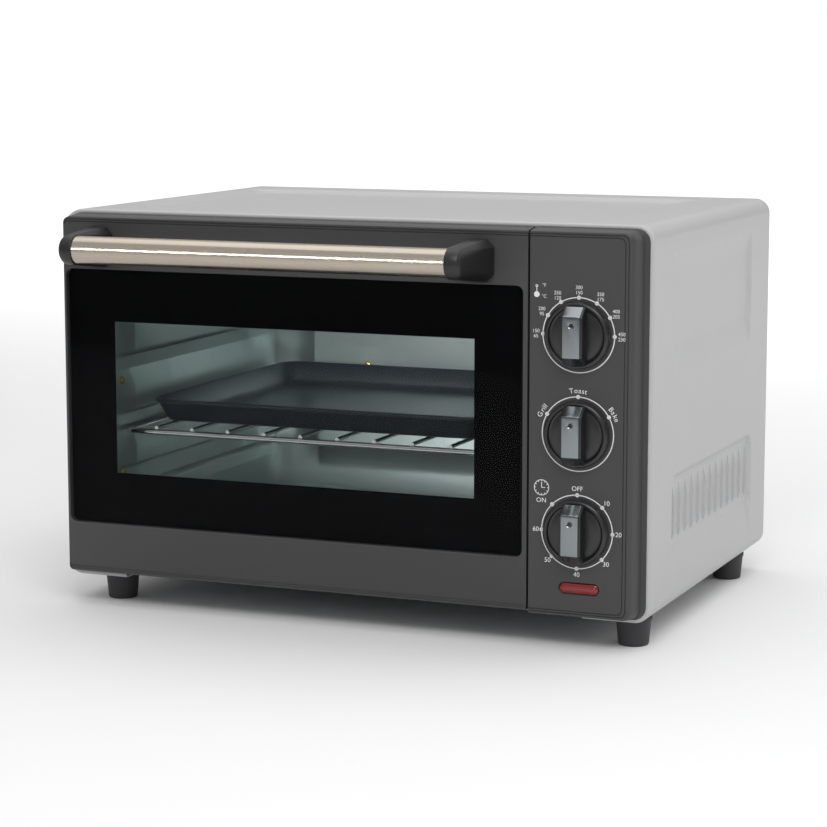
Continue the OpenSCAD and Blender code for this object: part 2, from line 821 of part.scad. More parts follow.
module straight_wire(a, b, r) {
    d = b - a;
    translate(a) rotate([0, acos(d.z / norm(d)), atan2(d.y, d.x)]) cylinder(r = r, h = norm(d), $fn = 12);
}

module wire_rack() {
    c = 6;
    bar_z = rack_z + wire_r + bar_r - 0.5;
    mid = cavity_x - 2;
    color([0.78, 0.79, 0.8]) {
        for (y = concat([rack_front, rack_back], rack_cross_y))
            straight_wire([rack_left + (y == rack_front || y == rack_back ? c : 0), y, rack_z],
                          [rack_right - (y == rack_front || y == rack_back ? c : 0), y, rack_z], wire_r);
        for (x = [rack_left, rack_right])
            straight_wire([x, rack_front + c, rack_z], [x, rack_back - c, rack_z], wire_r);
        for (p = [[rack_left, rack_front, c, c], [rack_right, rack_front, -c, c],
                  [rack_left, rack_back, c, -c], [rack_right, rack_back, -c, -c]]) {
            straight_wire([p[0] + p[2] * 1.02, p[1], rack_z], [p[0] + p[2] * 0.27, p[1] + p[3] * 0.27, rack_z], wire_r);
            straight_wire([p[0], p[1] + p[3] * 1.02, rack_z], [p[0] + p[2] * 0.27, p[1] + p[3] * 0.27, rack_z], wire_r);
        }
        for (i = [0 : rack_bar_count - 1]) {
            x = mid + (i - (rack_bar_count - 1) / 2) * rack_bar_pitch;
            straight_wire([x, rack_front, bar_z], [x, rack_back, bar_z], bar_r);
        }
    }
}

module tray_slab(grow, z, t) {
    plate_z(z, t) rounded(tray_lo - [grow, grow], tray_hi + [grow, grow], tray_r + grow, $fn = 32);
}

module bake_tray() {
    color([0.2, 0.2, 0.21]) {
        difference() {
            hull() {
                tray_slab(-tray_taper - 2, tray_z, tray_t);
                tray_slab(-2, tray_z + tray_h - tray_t, tray_t);
            }
            hull() {
                tray_slab(-tray_taper - 2 - tray_t, tray_z + tray_t, tray_t);
                tray_slab(-2 - tray_t, tray_z + tray_h, tray_t);
            }
        }
        difference() {
            tray_slab(0, tray_z + tray_h - 1.2, 1.2);
            tray_slab(-2 - tray_t, tray_z + tray_h - 2, 3);
        }
    }
}

// Moves a sub-part from the front face's frame to the oven's own origin.
module placed() {
    translate([0, face_y, 0]) children();
}

placed() outer_shell();
placed() base_plate();
placed() rear_panel();
placed() front_frame();
placed() control_panel();
placed() control_bracket();
placed() heat_shield();
placed() cavity_left_wall();
placed() cavity_right_wall();
placed() cavity_back_wall();
placed() cavity_roof();
placed() cavity_floor();
placed() heater(heaters[0]);  // heater_upper_front
placed() heater(heaters[1]);  // heater_upper_rear
placed() heater(heaters[2]);  // heater_lower_front
placed() heater(heaters[3]);  // heater_lower_rear
placed() heater_insulators();
placed() thermostat_body();
placed() thermostat_bulb();
placed() selector_switch();
placed() timer_movement();
placed() timer_bell();
placed() lamp_lens();
placed() lamp_holder();
placed() terminal_block();
placed() cord_gland();
placed() foot(foot_left_x, foot_front_y);  // foot_front_left
placed() foot(foot_right_x, foot_front_y);  // foot_front_right
placed() foot(foot_left_x, foot_rear_y);  // foot_rear_left
placed() foot(foot_right_x, foot_rear_y);  // foot_rear_right
placed() foot_screws();
placed() rear_screws();
placed() rear_spacers();
placed() cavity_screws();
placed() door_spring(arm_x[0] + arm_t / 2);  // door_spring_left
placed() door_spring(arm_x[1] + arm_t / 2);  // door_spring_right
placed() door_frame();
placed() door_glass();
placed() door_glass_mask();
placed() door_inner_frame();
placed() door_inner_screws();
placed() handle_bar();
placed() handle_mount(-1);  // handle_mount_left
placed() handle_mount(1);  // handle_mount_right
placed() handle_screws();
placed() hinge_pins();
placed() door_arm(arm_x[0]);  // door_arm_left
placed() door_arm(arm_x[1]);  // door_arm_right
placed() control_knob(0);  // temperature_knob
placed() knob_inlay(0);  // temperature_knob_inlay
placed() control_shaft(0, bracket_y + 12);  // thermostat_shaft
placed() control_knob(1);  // function_knob
placed() knob_inlay(1);  // function_knob_inlay
placed() control_shaft(1, bracket_y + 12);  // selector_shaft
placed() control_knob(2);  // timer_knob
placed() knob_inlay(2);  // timer_knob_inlay
placed() control_shaft(2, bracket_y + 12);  // timer_shaft
placed() wire_rack();
placed() bake_tray();
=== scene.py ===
"""Looks of a countertop toaster oven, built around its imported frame.

Lengths in this script are millimetres in the oven's own frame unless a name ends in _m.
"""
import logging
import math
from dataclasses import dataclass, field
from enum import Enum
from typing import Iterable, Optional, Sequence

import bmesh
import bpy
from mathutils import Matrix, Vector


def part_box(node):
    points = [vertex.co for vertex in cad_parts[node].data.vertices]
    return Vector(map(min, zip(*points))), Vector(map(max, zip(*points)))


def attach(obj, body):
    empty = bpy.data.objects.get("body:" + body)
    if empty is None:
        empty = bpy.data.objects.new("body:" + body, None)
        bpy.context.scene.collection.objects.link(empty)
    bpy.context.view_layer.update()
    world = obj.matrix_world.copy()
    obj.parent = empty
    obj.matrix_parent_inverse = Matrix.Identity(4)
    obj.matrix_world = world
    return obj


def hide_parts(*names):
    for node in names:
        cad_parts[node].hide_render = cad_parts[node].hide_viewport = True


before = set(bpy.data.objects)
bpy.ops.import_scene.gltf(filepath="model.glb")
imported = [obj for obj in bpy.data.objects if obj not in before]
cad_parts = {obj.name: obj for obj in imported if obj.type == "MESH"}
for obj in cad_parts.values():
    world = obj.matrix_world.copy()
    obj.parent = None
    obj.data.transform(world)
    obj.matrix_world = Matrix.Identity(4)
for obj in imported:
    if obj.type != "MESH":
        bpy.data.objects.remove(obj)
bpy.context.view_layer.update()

log = logging.getLogger("toaster_oven")
MM = 0.001
Loop = list[Vector]
Socket = bpy.types.NodeSocket


# ---- Measures -------------------------------------------------------------------------------------


@dataclass(frozen=True)
class Span:
    """A box in millimetres, from its lowest corner to its highest."""

    lo: Vector
    hi: Vector

    @property
    def mid(self) -> Vector:
        """The middle of the box."""
        return (self.lo + self.hi) / 2

    @property
    def size(self) -> Vector:
        """The box's extents."""
        return self.hi - self.lo


def span(node: str) -> Span:
    """Reads where a node of the frame is.

    Args:
        node: the node's name.

    Returns:
        Its box in millimetres.
    """
    lo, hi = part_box(node)
    return Span(lo / MM, hi / MM)


FACE_Y = span("control_panel").lo.y
SHELL = span("outer_shell")
DOOR = span("door_frame")
PANEL = span("control_panel")


# ---- Nodes ----------------------------------------------------------------------------------------


def add_node(tree: bpy.types.NodeTree, kind: str, settings: Optional[dict] = None,
             inputs: Optional[dict] = None) -> bpy.types.Node:
    """Adds a node with its settings and links.

    Args:
        tree: the node tree.
        kind: the node's type name.
        settings: the node's own properties.
        inputs: for each input's name or number, a value, or a socket to link from.

    Returns:
        The new node.
    """
    node = tree.nodes.new(kind)
    for name, value in (settings or {}).items():
        setattr(node, name, value)
    for key, value in (inputs or {}).items():
        if isinstance(value, Socket):
            tree.links.new(value, node.inputs[key])
        else:
            node.inputs[key].default_value = value
    return node


def linear(code: str) -> tuple[float, float, float, float]:
    """Turns an sRGB hex colour into linear light.

    Args:
        code: six hex digits, such as "b5b5b5".

    Returns:
        Linear red, green, blue and an alpha of 1.
    """
    parts = [int(code[i:i + 2], 16) / 255 for i in (0, 2, 4)]
    red, green, blue = [c / 12.92 if c <= 0.04045 else ((c + 0.055) / 1.055) ** 2.4 for c in parts]
    return red, green, blue, 1.0


class Pattern(Enum):
    """How the fine detail of a finish is laid out."""

    GRAIN = "grain"
    BRUSHED = "brushed"
    SPANGLE = "spangle"
    SPECKLE = "speckle"
    CLOUD = "cloud"


@dataclass(frozen=True)
class Finish:
    """A surface finish: what it is made of, its colours and the size of its detail."""

    name: str
    colour: str
    shade: str
    metallic: float = 0.0
    roughness: float = 0.5
    roughness_range: float = 0.08
    pattern: Pattern = Pattern.GRAIN
    size_mm: float = 1.0
    bump_mm: float = 0.0
    stretch: tuple[float, float, float] = (1.0, 1.0, 1.0)
    ior: Optional[float] = None
    coat: float = 0.0
    coat_roughness: float = 0.1
    alpha: float = 1.0
    anisotropy: float = 0.0
    specular: float = 0.5
    glow: float = 0.0

    def make(self) -> bpy.types.Material:
        """Builds the finish as a material.

        Returns:
            The material.
        """
        material = bpy.data.materials.new(self.name)
        material.use_nodes = True
        tree = material.node_tree
        tree.nodes.clear()
        where = add_node(tree, "ShaderNodeTexCoord").outputs["Object"]
        scaled = add_node(tree, "ShaderNodeMapping", None, {"Vector": where, "Scale": self.stretch})
        fine = self.fine_pattern(tree, scaled.outputs["Vector"])
        broad = add_node(tree, "ShaderNodeTexNoise", None,
                         {"Vector": where, "Scale": 1 / (60 * MM), "Detail": 3.0, "Roughness": 0.55})
        both = add_node(tree, "ShaderNodeMath", {"operation": "MULTIPLY"},
                        {0: fine, 1: broad.outputs["Fac"]})
        mix = add_node(tree, "ShaderNodeMix", {"data_type": "RGBA"},
                       {"Factor": both.outputs[0], "A": linear(self.colour), "B": linear(self.shade)})
        rough = add_node(tree, "ShaderNodeMapRange", None,
                         {"Value": fine, "To Min": max(0.0, self.roughness - self.roughness_range),
                          "To Max": min(1.0, self.roughness + self.roughness_range)})
        shader = add_node(tree, "ShaderNodeBsdfPrincipled", None,
                          {"Base Color": mix.outputs["Result"], "Metallic": self.metallic,
                           "Roughness": rough.outputs["Result"], "Coat Weight": self.coat,
                           "Coat Roughness": self.coat_roughness, "Alpha": self.alpha,
                           "Anisotropic": self.anisotropy, "Specular IOR Level": self.specular})
        if self.ior:
            shader.inputs["IOR"].default_value = self.ior
        if self.glow:
            shader.inputs["Emission Color"].default_value = linear(self.colour)
            shader.inputs["Emission Strength"].default_value = self.glow
        if self.bump_mm:
            bump = add_node(tree, "ShaderNodeBump", None,
                            {"Height": fine, "Distance": self.bump_mm * MM, "Strength": 0.6})
            tree.links.new(bump.outputs["Normal"], shader.inputs["Normal"])
        add_node(tree, "ShaderNodeOutputMaterial", None, {"Surface": shader.outputs["BSDF"]})
        return material

    def fine_pattern(self, tree: bpy.types.NodeTree, where: Socket) -> Socket:
        """Adds the nodes of the fine detail.

        Args:
            tree: the material's node tree.
            where: the scaled object coordinates.

        Returns:
            A socket that runs from 0 to 1 over the detail.
        """
        rate = 1 / (self.size_mm * MM)
        if self.pattern in (Pattern.SPANGLE, Pattern.SPECKLE):
            cells = add_node(tree, "ShaderNodeTexVoronoi", None, {"Vector": where, "Scale": rate})
            if self.pattern is Pattern.SPANGLE:
                return add_node(tree, "ShaderNodeSeparateColor", None,
                                {"Color": cells.outputs["Color"]}).outputs["Red"]
            return add_node(tree, "ShaderNodeMapRange", None,
                            {"Value": cells.outputs["Distance"], "From Min": 0.12,
                             "From Max": 0.3}).outputs["Result"]
        detail = 2.0 if self.pattern is Pattern.CLOUD else 5.0
        return add_node(tree, "ShaderNodeTexNoise", None,
                        {"Vector": where, "Scale": rate, "Detail": detail, "Roughness": 0.6}).outputs["Fac"]


# Along the handle bar and across the inlays, the brush marks are this many times longer than wide.
BRUSH_ALONG_X = (0.02, 1.0, 1.0)
BRUSH_ALONG_Z = (1.0, 1.0, 0.03)

# Powder-coated sheet steel: an even satin skin with a very fine orange peel.
POWDER_COAT = Finish("powder_coated_steel", "bdbdbe", "b5b5b7", roughness=0.42, size_mm=1.2, bump_mm=0.02)
# Injection-moulded ABS, satin: a fine spark-eroded grain takes the gloss off.
SATIN_ABS = Finish("satin_moulded_abs", "424142", "39393a", roughness=0.46, size_mm=0.5, bump_mm=0.012,
                   ior=1.53)
# Heat-proof black nylon: coarser grain than the panel and a duller sheen.
BLACK_NYLON = Finish("grained_black_nylon", "1d1c1d", "151515", roughness=0.42, size_mm=0.7, bump_mm=0.03,
                     ior=1.53)
# Phenolic knob moulding: deep black with a low satin gloss.
BLACK_PHENOLIC = Finish("satin_black_phenolic", "1a1a1b", "121212", roughness=0.33, size_mm=0.4,
                        bump_mm=0.01, ior=1.6)
# Tempered soda-lime glass: clear, with a faint cool tint.
TEMPERED_GLASS = Finish("tempered_clear_glass", "060c0e", "05090b", roughness=0.03, roughness_range=0.01,
                        pattern=Pattern.CLOUD, size_mm=40.0, ior=1.52, alpha=0.12, specular=0.3)
# Fired enamel print on the back of the glass: an even, deep black.
GLASS_ENAMEL = Finish("fired_black_enamel", "040305", "030304", roughness=0.5, pattern=Pattern.CLOUD,
                      size_mm=8.0, ior=1.5, specular=0.05)
# Brushed stainless steel tube: hairlines run along the bar and stretch its highlights round it.
BRUSHED_TUBE = Finish("brushed_stainless_tube", "bdb3a6", "a79d90", metallic=1.0, roughness=0.26,
                      roughness_range=0.07, pattern=Pattern.BRUSHED, size_mm=0.35, bump_mm=0.004,
                      stretch=BRUSH_ALONG_X, anisotropy=0.5)
# Brushed stainless steel strip: hairlines run along each grip.
BRUSHED_INLAY = Finish("brushed_stainless_inlay", "8f9597", "7e8486", metallic=1.0, roughness=0.2,
                       roughness_range=0.06, pattern=Pattern.BRUSHED, size_mm=0.35, bump_mm=0.003,
                       stretch=BRUSH_ALONG_Z)
# Aluminised sheet steel: a soft grey metal with a blurred spangle.
ALUMINISED_SHEET = Finish("aluminised_steel_sheet", "a9b5b2", "93a3a3", metallic=0.85, roughness=0.38,
                          roughness_range=0.06, pattern=Pattern.CLOUD, size_mm=9.0)
# Galvanised sheet steel: crystals of zinc a few millimetres wide.
GALVANISED = Finish("galvanised_steel_sheet", "b3b6b8", "9a9ea1", metallic=0.9, roughness=0.4,
                    pattern=Pattern.SPANGLE, size_mm=6.0)
# Heat-resistant black paint on the frame inside the door.
STOVE_BLACK = Finish("matt_stove_black", "1a1a1b", "121213", roughness=0.6, size_mm=0.8, bump_mm=0.02)
# Nickel-chrome plated wire: bright, with a faint drawn line.
PLATED_WIRE = Finish("nickel_chrome_wire", "d2d6d6", "c0c6c6", metallic=1.0, roughness=0.14,
                     roughness_range=0.04, size_mm=2.0)
# Non-stick coating on the tray: dark, with a fine mineral fleck.
NON_STICK = Finish("grey_non_stick_coating", "2a3238", "20272c", roughness=0.36, pattern=Pattern.SPECKLE,
                   size_mm=1.1, bump_mm=0.006, coat=0.15, coat_roughness=0.25)
# Moulded rubber feet: matt, almost black.
FOOT_RUBBER = Finish("matt_black_rubber", "3c3b3e", "323134", roughness=0.62, size_mm=0.9, bump_mm=0.03)
# Zinc-plated screws and pins.
ZINC_PLATED = Finish("zinc_plated_steel", "b9bab7", "a2a3a0", metallic=1.0, roughness=0.3, size_mm=0.6)
# Yellow-passivated screws in the cavity.
YELLOW_ZINC = Finish("yellow_passivated_zinc", "b39a5e", "94804c", metallic=1.0, roughness=0.34, size_mm=0.6)
# Pad-printed white ink.
WHITE_INK = Finish("pad_printed_white_ink", "f2f2f2", "e6e6e6", roughness=0.55, size_mm=0.3)
# Transparent red polycarbonate over the lamp.
RED_LENS = Finish("red_polycarbonate", "8a1c1c", "6d1213", roughness=0.16, roughness_range=0.04,
                  pattern=Pattern.CLOUD, size_mm=3.0, ior=1.58, coat=0.3, coat_roughness=0.08, glow=0.02)
# Unglazed steatite: a chalky off-white ceramic.
STEATITE = Finish("unglazed_steatite", "e4dfd2", "d3cdbf", roughness=0.75, size_mm=0.8, bump_mm=0.02)
# Oxidised steel sheath of the heating rods.
HEATER_SHEATH = Finish("oxidised_heater_sheath", "6d6a66", "53504d", metallic=0.8, roughness=0.45,
                       pattern=Pattern.CLOUD, size_mm=5.0)
# Copper capillary and bulb of the thermostat.
COPPER = Finish("drawn_copper", "b9754f", "9c6041", metallic=1.0, roughness=0.32, size_mm=0.7)
# Cream switch moulding.
CREAM_PHENOLIC = Finish("cream_phenolic", "d9d3c3", "cbc4b3", roughness=0.5, size_mm=0.6, bump_mm=0.01)
# Bright nickel on the bell.
NICKEL = Finish("bright_nickel", "c9c6bf", "b8b5ae", metallic=1.0, roughness=0.18, size_mm=1.5)
# Coiled spring wire.
SPRING_WIRE = Finish("drawn_spring_wire", "a5a6a8", "7f8082", metallic=1.0, roughness=0.3, size_mm=0.5)

CAD_FINISHES: dict[str, Finish] = {
    "foot_screws": ZINC_PLATED,
    "base_plate": GALVANISED, "rear_panel": POWDER_COAT, "front_frame": ALUMINISED_SHEET,
    "control_bracket": GALVANISED, "heat_shield": GALVANISED, "heater_upper_front": HEATER_SHEATH,
    "heater_upper_rear": HEATER_SHEATH, "heater_lower_front": HEATER_SHEATH,
    "heater_lower_rear": HEATER_SHEATH, "heater_insulators": STEATITE, "thermostat_body": STEATITE,
    "thermostat_bulb": COPPER, "selector_switch": CREAM_PHENOLIC, "timer_movement": GALVANISED,
    "timer_bell": NICKEL, "lamp_holder": CREAM_PHENOLIC, "terminal_block": STEATITE,
    "cord_gland": BLACK_NYLON, "rear_spacers": BLACK_NYLON, "door_inner_frame": STOVE_BLACK,
    "door_inner_screws": ZINC_PLATED, "handle_screws": ZINC_PLATED, "hinge_pins": ZINC_PLATED,
    "door_arm_left": GALVANISED, "door_arm_right": GALVANISED, "thermostat_shaft": ZINC_PLATED,
    "selector_shaft": ZINC_PLATED, "timer_shaft": ZINC_PLATED, "door_spring_left": SPRING_WIRE,
    "door_spring_right": SPRING_WIRE, "door_glass_mask": GLASS_ENAMEL, "cavity_roof": ALUMINISED_SHEET,
    "cavity_floor": ALUMINISED_SHEET,
}


class Paints:
    """Makes each finish's material once and hands it out."""

    def __init__(self) -> None:
        """Starts with no materials made."""
        self.made: dict[str, bpy.types.Material] = {}

    def get(self, finish: Finish) -> bpy.types.Material:
        """Gives the material of a finish.

        Args:
            finish: the finish.

        Returns:
            Its material, made on first use.
        """
        if finish.name not in self.made:
            self.made[finish.name] = finish.make()
        return self.made[finish.name]


PAINTS = Paints()


# ---- Mesh helpers -----------------------------------------------------------------------------------


def mesh_from(bm: bmesh.types.BMesh, fix_normals: bool = True) -> bpy.types.Mesh:
    """Closes a bmesh into a mesh.

    Args:
        bm: the mesh under work, in millimetres; it is freed.
        fix_normals: whether to turn every face outwards.

    Returns:
        The mesh, in metres.
    """
    if fix_normals:
        bmesh.ops.recalc_face_normals(bm, faces=bm.faces)
    bmesh.ops.scale(bm, vec=(MM, MM, MM), verts=bm.verts)
    mesh = bpy.data.meshes.new("work")
    bm.to_mesh(mesh)
    bm.free()
    return mesh


def stand_in(mesh: bpy.types.Mesh, name: str = "work") -> bpy.types.Object:
    """Links a mesh to the scene as a working object."""
    obj = bpy.data.objects.new(name, mesh)
    bpy.context.scene.collection.objects.link(obj)
    return obj


def evaluated(obj: bpy.types.Object) -> bpy.types.Mesh:
    """Bakes an object's modifiers into a new mesh and removes the object.

    Args:
        obj: a working object with modifiers.

    Returns:
        The plain mesh.
    """
    bpy.context.view_layer.update()
    graph = bpy.context.evaluated_depsgraph_get()
    mesh = bpy.data.meshes.new_from_object(obj.evaluated_get(graph), depsgraph=graph)
    obj.modifiers.clear()
    bpy.data.objects.remove(obj)
    return mesh


def with_modifier(mesh: bpy.types.Mesh, kind: str, **settings: object) -> bpy.types.Mesh:
    """Runs one modifier over a mesh.

    Args:
        mesh: the mesh.
        kind: the modifier's type.
        settings: the modifier's properties.

    Returns:
        The changed mesh.
    """
    obj = stand_in(mesh)
    modifier = obj.modifiers.new("work", kind)
    for name, value in settings.items():
        setattr(modifier, name, value)
    return evaluated(obj)


def combined(mesh: bpy.types.Mesh, other: bpy.types.Mesh, operation: str) -> bpy.types.Mesh:
    """Adds one solid to another, or cuts it away.

    Args:
        mesh: the solid that is kept.
        other: the solid that is added or cut away.
        operation: UNION or DIFFERENCE.

    Returns:
        The new solid.
    """
    tool = stand_in(other, "tool")
    result = with_modifier(mesh, "BOOLEAN", operation=operation, object=tool, solver="EXACT")
    bpy.data.objects.remove(tool)
    return result


def joined(meshes: Iterable[bpy.types.Mesh]) -> bpy.types.Mesh:
    """Puts several meshes into one, each staying a separate shell."""
    bm = bmesh.new()
    for mesh in meshes:
        bm.from_mesh(mesh)
    result = bpy.data.meshes.new("work")
    bm.to_mesh(result)
    bm.free()
    return result


def place(name: str, mesh: bpy.types.Mesh, finish: Finish, body: str,
          nodes: Sequence[str] = (), sharp_deg: float = 32.0) -> bpy.types.Object:
    """Finishes a piece: shades it, dresses it and hangs it on its body.

    Args:
        name: the piece's name.
        mesh: its mesh, in metres.
        finish: its finish.
        body: the body it moves with.
        nodes: the frame's nodes it stands for.
        sharp_deg: edges over this angle stay sharp.

    Returns:
        The piece.
    """
    mesh.name = name
    mesh.materials.clear()
    mesh.materials.append(PAINTS.get(finish))
    for polygon in mesh.polygons:
        polygon.use_smooth = True
        polygon.material_index = 0
    mesh.set_sharp_from_angle(angle=math.radians(sharp_deg))
    obj = stand_in(mesh, name)
    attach(obj, body)
    if nodes:
        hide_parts(*nodes)
    log.info("%s: %d faces on %s", name, len(mesh.polygons), body)
    return obj


def rounded_loop(x0: float, z0: float, x1: float, z1: float, radii: Sequence[float], y: float,
                 steps: int = 8) -> Loop:
    """Draws a rounded rectangle in the plane of a given Y.

    Args:
        x0: left edge.
        z0: lower edge.
        x1: right edge.
        z1: upper edge.
        radii: radii of the lower left, lower right, upper right and upper left corners.
        y: the plane's Y.
        steps: segments in each corner.

    Returns:
        Its points, anticlockwise as seen from the front.
    """
    signs = ((-1, -1), (1, -1), (1, 1), (-1, 1))
    points: Loop = []
    for i, ((sx, sz), r) in enumerate(zip(signs, radii)):
        r = max(r, 0.02)
        cx = x0 + r if sx < 0 else x1 - r
        cz = z0 + r if sz < 0 else z1 - r
        for k in range(steps + 1):
            angle = math.pi + (i + k / steps) * math.pi / 2
            points.append(Vector((cx + r * math.cos(angle), y, cz + r * math.sin(angle))))
    return points


def loft(bm: bmesh.types.BMesh, loops: Sequence[Loop], cap: bool = True, ring: bool = False) -> None:
    """Skins a row of loops that have the same number of points.

    Args:
        bm: where the faces go.
        loops: the loops, in order.
        cap: whether to close the first and last loop with a face.
        ring: whether the last loop joins the first.
    """
    rows = [[bm.verts.new(p) for p in loop] for loop in loops]
    pairs = list(zip(rows, rows[1:])) + ([(rows[-1], rows[0])] if ring else [])
    count = len(rows[0])
    for a, b in pairs:
        for j in range(count):
            k = (j + 1) % count
            bm.faces.new((a[j], a[k], b[k], b[j]))
    if cap and not ring:
        bm.faces.new(rows[0][::-1])
        bm.faces.new(rows[-1])


def lathe(profile: Sequence[tuple[float, float]], centre: Vector, along: Vector, segments: int = 64,
          closed: bool = False) -> bpy.types.Mesh:
    """Turns a profile about an axis.

    Args:
        profile: radius and distance along the axis of each point.
        centre: the axis's start.
        along: the axis's direction.
        segments: sides of the turned solid.
        closed: whether the profile is a closed outline clear of the axis.

    Returns:
        The turned solid.
    """
    turn = Vector((0, 0, 1)).rotation_difference(along.normalized()).to_matrix()
    bm = bmesh.new()
    loops = []
    for radius, height in profile:
        radius = max(radius, 0.01)
        angles = [2 * math.pi * i / segments for i in range(segments)]
        loops.append([centre + turn @ Vector((radius * math.cos(a), radius * math.sin(a), height))
                      for a in angles])
    loft(bm, loops, cap=not closed, ring=closed)
    return mesh_from(bm)


def block(lo: Sequence[float], hi: Sequence[float], bevel: float = 0.0) -> bpy.types.Mesh:
    """Makes a block between two corners, with its edges rounded by bevel."""
    bm = bmesh.new()
    bmesh.ops.create_cube(bm, size=1)
    for v in bm.verts:
        v.co = Vector([(a + b) / 2 + c * (b - a) for a, b, c in zip(lo, hi, v.co)])
    if bevel:
        bmesh.ops.bevel(bm, geom=bm.edges, offset=bevel, segments=3, affect="EDGES")
    return mesh_from(bm)


def stations(lo: float, hi: float, edges: Iterable[float], reach: float = 7.0, fine: float = 1.0,
             coarse: float = 12.0) -> list[float]:
    """Spreads grid lines along a length, close together round each edge and apart elsewhere.

    Args:
        lo: the start.
        hi: the end.
        edges: places that need detail.
        reach: how far the detail reaches on either side of an edge.
        fine: spacing near an edge.
        coarse: spacing elsewhere.

    Returns:
        The places, in order.
    """
    near = sorted(edges)
    at, found = lo, [lo]
    while at < hi - 1e-6:
        close = any(abs(at - e) < reach for e in near)
        ahead = [e - reach - at for e in near if e - reach > at]
        step = fine if close else min([coarse] + [max(a, fine) for a in ahead])
        at = min(at + step, hi)
        if hi - at < fine / 2:
            at = hi
        found.append(at)
    return found


@dataclass(frozen=True)
class Pressing:
    """A rounded rectangle that is pressed into a sheet, with sloping sides."""

    u0: float
    v0: float
    u1: float
    v1: float
    radius: float
    depth: float
    slope: float = 5.0

    def depth_at(self, u: float, v: float) -> float:
        """Gives how deep the sheet is pressed at a point.

        Args:
            u: place along the sheet.
            v: place across the sheet.

        Returns:
            The depth there.
        """
        qx = abs(u - (self.u0 + self.u1) / 2) - (self.u1 - self.u0) / 2 + self.radius
        qy = abs(v - (self.v0 + self.v1) / 2) - (self.v1 - self.v0) / 2 + self.radius
        outside = math.hypot(max(qx, 0), max(qy, 0)) + min(max(qx, qy), 0) - self.radius
        t = min(max(-outside / self.slope, 0.0), 1.0)
        return self.depth * t * t * (3 - 2 * t)


# ---- Outer shell ------------------------------------------------------------------------------------


@dataclass(frozen=True)
class ShellLine:
    """One line along the shell's depth: where it crosses the shell's outline."""

    x: float
    z: float
    normal_x: float
    normal_z: float
    side: str
    u: float


